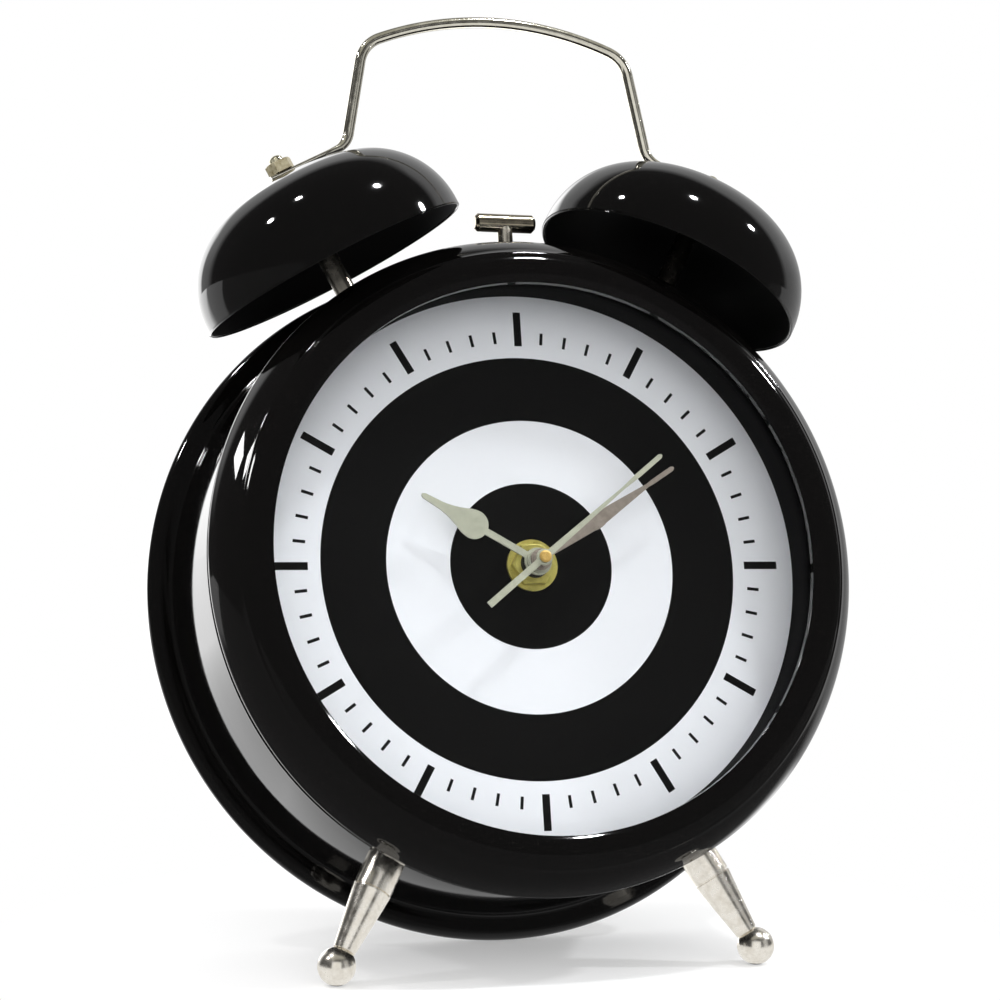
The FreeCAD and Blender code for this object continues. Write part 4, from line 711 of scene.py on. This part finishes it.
def dialPiece():
    d = dialSizes
    section = sectionPoints([
        (d["hole"], -d["sheet"]), (d["radius"], -d["sheet"]), (d["radius"], 0.0), (d["hole"], 0.0),
    ], lineStep=30)
    # Made flat in the dial's own frame, mapped there, then put in its place
    piece = turnedPiece("dial", section, place(), "dialFace", "dial_plate", 240)
    mesh = piece.data
    flat = meshPoints(mesh)
    corners = np.zeros(len(mesh.loops), int)
    mesh.loops.foreach_get("vertex_index", corners)
    uvMap = mesh.uv_layers.new(name="dialMap")
    uvMap.data.foreach_set("uv", (flat[corners, :2] / dialPrint["mapSpan"] + 0.5).ravel())
    mesh.vertices.foreach_set("co", (placed(flat, clock) * mm).ravel())
    mesh.update()


dialPiece()
print("bezel, spacer and dial made")

# Bells: rounded edge, skirt, shoulder and crown arcs, one millimetre sheet
bellLook = {
    "postAngle": 30.0, "tilt": 27.3, "rise": 9.9, "radius": 40.1, "height": 30.5, "edge": 0.45,
    "skirt": 2.3, "shoulder": 26.0, "sheet": 1.0, "hole": 2.2,
}
sides = {"left": -1, "right": 1}


def bellAxis(side):
    # Frame on the bell's axis. Its origin is in the bells' plane, which leans by s, in the direction
    # (sin a, cos a, 0), at the reach R that meets the cone: R (p + cos a sin s tan s) = the wall's radius,
    # where p is the length of (sin a, cos a cos s)
    b, slope = bellLook, math.radians(bellSlope)
    angle = math.radians(b["postAngle"])
    post = math.hypot(math.sin(angle), math.cos(angle) * math.cos(slope))
    leanShare = math.cos(angle) * math.sin(slope) * math.tan(slope)
    reach = wallRadius(-bellSetback) / (post + leanShare)
    foot = (side * reach * math.sin(angle), reach * math.cos(angle), 0)
    return joined(bellPlane, place(turnZ(-side * b["tilt"]) @ turnX(-90), foot))


def bellSection():
    # The crown's arc touches the shoulder's, and is level on the axis: its radius is
    # (r r + h h - 2 r s) / 2 (h - s) for the radius r, the height h above the skirt and the shoulder s
    b = bellLook
    span = b["height"] - b["skirt"]
    crown = (b["radius"] ** 2 + span ** 2 - 2 * b["radius"] * b["shoulder"]) / (2 * (span - b["shoulder"]))
    sine = (b["radius"] - b["shoulder"]) / (crown - b["shoulder"])
    cosine = math.sqrt(1 - sine ** 2)
    level = b["height"] - crown
    inner = crown - b["sheet"]
    edge = b["edge"]
    return sectionPoints([
        (b["radius"] - edge, 0, edge, 1), (b["radius"], edge), (b["radius"], b["skirt"], b["shoulder"], -1),
        (crown * sine, level + crown * cosine, crown, -1),
        (b["hole"], level + math.sqrt(crown ** 2 - b["hole"] ** 2)),
        (b["hole"], level + math.sqrt(inner ** 2 - b["hole"] ** 2), inner, 1),
        (inner * sine, level + inner * cosine, b["shoulder"] - b["sheet"], 1),
        (b["radius"] - b["sheet"], b["skirt"]), (b["radius"] - b["sheet"], edge, edge, 1),
    ], arcStep=2.0, lineStep=1.0)


def markInside(piece, where):
    # A point is inside where it is nearer the bell's axis than the middle of the sheet at its height
    mesh = piece.data
    points = (meshPoints(mesh) - where[1]) @ where[0]
    section = bellSection()
    outer = section[:int(np.argmax(section[:, 1])) + 1]
    edge = np.interp(points[:, 2], outer[:, 1], outer[:, 0])
    inside = (np.hypot(points[:, 0], points[:, 1]) < edge - bellLook["sheet"] / 2).astype(np.float32)
    attribute = mesh.attributes.new("inside", "FLOAT", "POINT")
    attribute.data.foreach_set("value", inside)


for sideName, side in sides.items():
    rim = joined(bellAxis(side), place(origin=(0, 0, bellLook["rise"])))
    bell = turnedPiece(sideName + "Bell", bellSection(), rim, "bellEnamel", sideName + "_bell", 240)
    markInside(bell, rim)
print("bells made")

# Posts through the bells, with a domed stud end
postLook = {
    "radius": 3.0, "stud": 2.0, "inside": 6.0, "start": 0.2, "top": 39.3, "studEnd": 47.0, "dome": 1.0,
    "domeCurve": 2.5,
}
for sideName, side in sides.items():
    p = postLook
    section = sectionPoints([
        (0, -p["inside"]), (p["stud"], -p["inside"]), (p["stud"], p["start"]), (p["radius"], p["start"]),
        (p["radius"], p["top"]), (p["stud"], p["top"]),
        (p["stud"], p["studEnd"] - p["dome"], p["domeCurve"], -1), (0, p["studEnd"]),
    ], closed=False)
    turnedPiece(
        sideName + "Post", section, bellAxis(side), "postSteelPaintedShade", sideName + "_bell_post", 64, closed=False)

# Feet: collar with a groove, taper, neck groove and ball
footLook = {
    "angle": 29.1, "setback": 5.6, "collar": 5.3, "collarLength": 9.5, "groove": 0.45,
    "grooveFloor": (0.15, 0.45), "grooveWidth": 0.6, "neck": 3.1, "neckReach": 27.5, "ball": 5.15,
    "ballReach": 32.0, "rounding": 0.3, "stud": 2.5, "inside": 7.0,
}


def footPlace(side):
    # On the drum's wall, along its normal
    f = footLook
    outward = turnZ(side * f["angle"])
    top = outward @ np.array([0, -wallRadius(-f["setback"]), -f["setback"]])
    return joined(clock, place(outward @ turnX(90 - drumWall["slope"]), top))


def footSection():
    # The ball starts where it is as wide as the neck's groove, sqrt(b b - g g) before its middle
    f = footLook
    collar, floor, rounding = f["collar"], f["collar"] - f["groove"], f["rounding"]
    groove = f["neck"] - f["groove"]
    ballStart = f["ballReach"] - math.sqrt(f["ball"] ** 2 - groove ** 2)
    return sectionPoints([
        (0, -f["inside"]), (f["stud"], -f["inside"]), (f["stud"], 0.0),
        (collar - rounding, 0.0, rounding, -1), (collar, rounding), (collar, f["collarLength"]),
        (floor, f["collarLength"] + f["grooveFloor"][0]), (floor, f["collarLength"] + f["grooveFloor"][1]),
        (collar, f["collarLength"] + f["grooveWidth"]), (f["neck"], f["neckReach"] - rounding, rounding, -1),
        (f["neck"] - rounding, f["neckReach"]), (groove, f["neckReach"]), (groove, ballStart, f["ball"], -1),
        (f["ball"], f["ballReach"], f["ball"], -1), (0, f["ballReach"] + f["ball"]),
    ], arcStep=6.0, lineStep=1.5, closed=False)


for sideName, side in sides.items():
    turnedPiece(
        sideName + "Foot", footSection(), footPlace(side), "satinNickel", sideName + "_foot", 96,
        closed=False)
print("posts and feet made")

# Handle: the wire's line is sampled once, the round section is flattened into the strap
handleLook = {
    "top": 163.9, "arch": 94.0, "corner": 9.5, "legAngle": 10.6, "foot": 7.0, "wire": 1.6,
    "strapSheet": 1.3, "strapWidth": 5.6, "lift": 0.05, "inner": 17.5, "outer": 4.5,
    "flatStart": -5.0, "flatLength": 9.0, "squareness": 0.72, "around": 32,
    "archSteps": 40, "cornerSteps": 24, "legSteps": 30, "footSteps": 16, "strapSteps": 24,
}


def handlePath(side):
    # Points from the apex to the strap's end, in the bells' plane, and how far each is past the strap's
    # start: arch, corner that touches the arch and the leg, straight leg, bend at the foot, strap
    h = handleLook
    axis = bellAxis(side)
    axis = (bellPlane[0].T @ axis[0], bellPlane[0].T @ (axis[1] - bellPlane[1]))
    tilt, lean = math.radians(bellLook["tilt"]), math.radians(h["legAngle"])
    outward = np.array([side * math.cos(tilt), -math.sin(tilt)])
    upward = np.array([side * math.sin(tilt), math.cos(tilt)])
    level = bellLook["rise"] + bellLook["height"] + h["strapSheet"] / 2 + h["lift"]
    strap = axis[1][:2] + upward * level
    leg = np.array([-side * math.sin(lean), math.cos(lean)])
    legNormal = np.array([side * leg[1], -side * leg[0]])
    apex = np.array([0, h["top"]])
    archCentre = apex - np.array([0, h["arch"]])
    footStart = strap - outward * h["inner"]
    footCentre = footStart + upward * h["foot"]
    footStop = footCentre - legNormal * h["foot"]
    innerReach = h["arch"] - h["corner"]
    offset = (footStop - archCentre) @ legNormal - h["corner"]
    cornerCentre = archCentre + legNormal * offset + leg * math.sqrt(innerReach ** 2 - offset ** 2)
    cornerStop = cornerCentre + legNormal * h["corner"]
    away = (cornerCentre - archCentre) / np.hypot(*(cornerCentre - archCentre))
    cornerStart = cornerCentre + away * h["corner"]

    def arc(centre, start, stop, steps):
        first, last = (math.atan2(*(p - centre)[::-1]) for p in (start, stop))
        way = (last - first + math.pi) % (2 * math.pi) - math.pi
        angles = first + way * np.linspace(0, 1, steps)
        return centre + np.hypot(*(start - centre)) * np.stack([np.cos(angles), np.sin(angles)], 1)

    def line(start, stop, steps):
        return start + (stop - start) * np.linspace(0, 1, steps)[:, None]

    points = np.concatenate([
        arc(archCentre, apex, cornerStart, h["archSteps"]),
        arc(cornerCentre, cornerStart, cornerStop, h["cornerSteps"])[1:],
        line(cornerStop, footStop, h["legSteps"])[1:],
        arc(footCentre, footStop, footStart, h["footSteps"])[1:],
        line(footStart, strap + outward * h["outer"], h["strapSteps"])[1:],
    ])
    return points, (points - footStart) @ outward


def handlePiece():
    # Section for the angle a: sign(cos a) |cos a|^n of half the thickness and sign(sin a) |sin a|^n of half
    # the width, which go from the wire's radius to the strap's, with n from 1 down to 1 - squareness
    h = handleLook
    left, leftPast = handlePath(-1)
    right, rightPast = handlePath(1)
    line = np.concatenate([left[::-1], right[1:]])
    past = np.concatenate([leftPast[::-1], rightPast[1:]])
    flat = np.clip((past - h["flatStart"]) / h["flatLength"], 0, 1)
    flat = flat * flat * (3 - 2 * flat)
    way = np.gradient(line, axis=0)
    way /= np.hypot(way[:, 0], way[:, 1])[:, None]
    across = np.stack([-way[:, 1], way[:, 0]], 1)
    around = h["around"]
    angles = np.arange(around)[None] * 2 * math.pi / around
    power = (1 - h["squareness"] * flat)[:, None]

    def reach(share, half):
        return np.sign(share) * np.abs(share) ** power * (h["wire"] + (half - h["wire"]) * flat)[:, None]

    points = np.zeros((len(line), around, 3))
    thick = reach(np.cos(angles), h["strapSheet"] / 2)
    points[:, :, :2] = line[:, None] + across[:, None] * thick[:, :, None]
    points[:, :, 2] = reach(np.sin(angles), h["strapWidth"] / 2)
    faces = gridFaces(len(line), around, closeColumns=True)
    ends = [np.arange(around)[::-1], (len(line) - 1) * around + np.arange(around)]
    points = placed(points.reshape(-1, 3), bellPlane) * mm
    addPiece("handleWire", points, list(faces) + ends, "handleChrome", "handle", sharp=60.0)


handlePiece()
print("handle made")

# Stage, lamps and camera
floorMesh = bpy.data.meshes.new("floor")
floorHalf = 6.0
floorCorners = [(x * floorHalf, y * floorHalf, 0) for x, y in ((-1, -1), (1, -1), (1, 1), (-1, 1))]
floorMesh.from_pydata(floorCorners, [], [(0, 1, 2, 3)])
floorMesh.materials.append(looks["floorPaper"])
floor = bpy.data.objects.new("floor", floorMesh)
bpy.context.scene.collection.objects.link(floor)

# Diffuse light: even, with a soft bright field in front. Mirror rays: a dim room, a strip of backdrop
# behind that is brighter higher up and ends above, and a bright panel low behind the clock.
roomLight = {
    "plain": 1.05, "front": 2.15, "frontEdge": (0.6, 0.95), "room": 0.06, "strip": 0.5, "upper": 0.65,
    "edge": (0.4, 0.55), "edgeSlant": 0.35, "stripTop": (0.12, 0.3), "upperTop": (0.7, 0.84),
    "topSlant": 0.12, "panel": 2.7, "panelEdge": (0.82, 0.9), "panelLeft": (-0.46, -0.39),
    "panelSide": (0.3, 0.0), "panelTop": (0.34, 0.44),
}


def roomWorld():
    # The shares come from the ray's way: y + edgeSlant x for the backdrop's left end, z - topSlant x for
    # its top, and y, x and z for the panel's edge, sides and top
    r = roomLight
    world = bpy.data.worlds.new("room")
    bpy.context.scene.world = world
    world.use_nodes = True
    nodes, links = world.node_tree.nodes, world.node_tree.links
    background = nodes["Background"]
    rays = nodes.new("ShaderNodeLightPath")
    way = nodes.new("ShaderNodeTexCoord")
    axes = nodes.new("ShaderNodeSeparateXYZ")
    links.new(way.outputs["Generated"], axes.inputs["Vector"])
    x, y, z = (axes.outputs[name] for name in "XYZ")
    maths = mathsIn(nodes, links)

    def product(result, *others):
        for other in others:
            result = maths("MULTIPLY", result, other)
        return result

    def either(share, yes, no):
        rest = product(maths("SUBTRACT", 1.0, share), no)
        return maths("ADD", product(share, yes), rest)

    aside = maths("ADD", y, product(x, r["edgeSlant"]))
    behind = rangeNode(nodes, links, aside, *r["edge"], 0.0, 1.0)
    glow = rangeNode(nodes, links, z, *r["stripTop"], r["strip"], r["upper"])
    tilted = maths("SUBTRACT", z, product(x, r["topSlant"]))
    cut = rangeNode(nodes, links, tilted, *r["upperTop"], 1.0, 0.0)
    panel = product(
        rangeNode(nodes, links, y, *r["panelEdge"], 0.0, 1.0),
        rangeNode(nodes, links, x, *r["panelLeft"], 0.0, 1.0),
        rangeNode(nodes, links, x, *r["panelSide"], 0.0, r["panel"]),
        rangeNode(nodes, links, z, *r["panelTop"], 1.0, 0.0))
    glow = maths("MAXIMUM", maths("MAXIMUM", product(glow, behind, cut), panel), r["room"])
    field = rangeNode(nodes, links, product(y, -1.0), *r["frontEdge"], 0.0, r["front"])
    plain = maths("ADD", field, r["plain"])
    # A depth above a half means that the ray has bounced
    diffused = maths("GREATER_THAN", rays.outputs["Diffuse Depth"], 0.5)
    mirrored = maths("GREATER_THAN", rays.outputs["Glossy Depth"], 0.5)
    strength = either(diffused, plain, either(mirrored, glow, 1.0))
    links.new(strength, background.inputs["Strength"])
    background.inputs["Color"].default_value = (1, 1, 1, 1)


roomWorld()


def addLamp(name, spot, target, size, power, colour):
    # A disk that shines along its own -Z, which is turned from the spot to the target
    light = bpy.data.lights.new(name, "AREA")
    light.shape = "DISK"
    light.size = size
    light.energy = power
    light.color = colour
    lamp = bpy.data.objects.new(name, light)
    bpy.context.scene.collection.objects.link(lamp)
    way = np.array(target, float) - np.array(spot, float)
    forward = way / np.linalg.norm(way)
    upright = abs(forward[2]) > 0.99
    right = np.cross(forward, (0, 1, 0) if upright else (0, 0, 1))
    right /= np.linalg.norm(right)
    up = np.cross(right, forward)
    rotation = Matrix(np.stack([right, up, -forward], 1).tolist())
    lamp.matrix_world = Matrix.Translation(spot) @ rotation.to_4x4()
    return lamp


# Small round lamps, by their way a round the clock from its front and their height h, in degrees: they
# stand in the direction (cos h sin a, -cos h cos a, sin h)
lamps = {
    "rightLamp": {"round": 82.0, "height": 36.0, "size": 0.15, "power": 13.0, "colour": (0.97, 0.98, 1)},
    "topLamp": {"round": 56.0, "height": 70.0, "size": 0.16, "power": 15.0, "colour": (0.97, 0.98, 1)},
    "leftHighLamp": {"round": -95.0, "height": 61.0, "size": 0.13, "power": 6.0, "colour": (1, 0.99, 1)},
    "leftLamp": {"round": -92.0, "height": 41.0, "size": 0.14, "power": 6.0, "colour": (1, 0.99, 1)},
}
lampReach, lampTarget = 2.0, np.array([0, 0, 0.18])
for lampName, lamp in lamps.items():
    turn, rise = math.radians(lamp["round"]), math.radians(lamp["height"])
    way = np.array([math.cos(rise) * math.sin(turn), -math.cos(rise) * math.cos(turn), math.sin(rise)])
    lampSpot = tuple(lampTarget + way * lampReach)
    addLamp(lampName, lampSpot, lampTarget, lamp["size"], lamp["power"], lamp["colour"])

# Soft boxes that light the plated pieces alone: the enamel mirrors a darker room than they do
clockMiddle = (0, 0, 0.15)
softBoxes = {
    "frontBox": {"spot": (-0.4, -1.5, 0.55), "target": clockMiddle, "size": (1.7, 1.1), "glow": 0.85},
    "sideBox": {"spot": (1.15, -1.1, 0.5), "target": clockMiddle, "size": (0.9, 1.1), "glow": 0.4},
    "floorBox": {"spot": (0, -0.69, 0.0005), "target": (0, -0.69, 1), "size": (2.4, 1.4), "glow": 0.75},
    "topBox": {
        "spot": (0, -0.3, 1.6), "target": clockMiddle, "size": (2.4, 1.6), "glow": 0.3,
        "tint": (1, 0.98, 0.85)},
}
# The white patch and the streaks on the bezel's left, two windows that the bezel alone mirrors
bezelLeft = (-0.085, -0.03, 0.14)
bezelBoxes = {
    "patchBox": {"spot": (-1.1, 0.33, 0.76), "target": bezelLeft, "size": (0.36, 0.14), "glow": 18.0},
    "streakBox": {"spot": (-1.06, -0.2, 0.825), "target": bezelLeft, "size": (0.4, 0.15), "glow": 18.0},
}
platedPieces = bpy.data.collections.new("platedPieces")
bezelOnly = bpy.data.collections.new("bezelOnly")
for piece in list(bpy.context.scene.objects):
    if piece.type == "MESH" and piece.data.materials and piece.data.materials[0].name in platedLooks:
        platedPieces.objects.link(piece)
    if piece.name == "bezel":
        bezelOnly.objects.link(piece)


# A lamp of radiance glow has the power pi * area * glow
def addSoftBox(name, box, receivers):
    width, height = box["size"]
    power = math.pi * width * height * box["glow"]
    soft = addLamp(name, box["spot"], box["target"], width, power, box.get("tint", (1, 1, 1)))
    soft.data.shape = "RECTANGLE"
    soft.data.size_y = height
    soft.visible_camera = False
    soft.light_linking.receiver_collection = receivers


for boxName, box in softBoxes.items():
    addSoftBox(boxName, box, platedPieces)
for boxName, box in bezelBoxes.items():
    addSoftBox(boxName, box, bezelOnly)

# The photograph's view: the camera's axes in the dial's own frame, the dial's middle along them in
# millimetres, and the lens
viewFit = {
    "right": (0.9582, -0.0577, 0.2801), "down": (0.0063, -0.9750, -0.2223),
    "forward": (0.2859, 0.2147, -0.9339), "shift": (8.649, 18.399, 675.624), "lens": 87.35, "sensor": 36.0,
    "clip": (0.01, 30.0),
}


def addCamera():
    v = viewFit
    axes = np.array([v["right"], v["down"], v["forward"]], float)
    spot = -axes.T @ np.array(v["shift"])
    # The fitted axes are rounded, so the nearest rotation U W of their decomposition U S W takes their place
    u, _, w = np.linalg.svd(axes)
    axes = u @ w
    data = bpy.data.cameras.new("camera")
    data.lens = v["lens"]
    data.sensor_width = v["sensor"]
    data.clip_start, data.clip_end = v["clip"]
    camera = bpy.data.objects.new("camera", data)
    bpy.context.scene.collection.objects.link(camera)
    # A camera has its own Y up and looks along its own -Z
    columns = clock[0] @ np.stack([axes[0], -axes[1], -axes[2]], 1)
    camera.matrix_world = Matrix.Translation(placed(spot, clock) * mm) @ Matrix(columns.tolist()).to_4x4()
    bpy.context.scene.camera = camera


addCamera()
bpy.context.scene.view_settings.view_transform = "Standard"

print("stage, lamps and camera made")
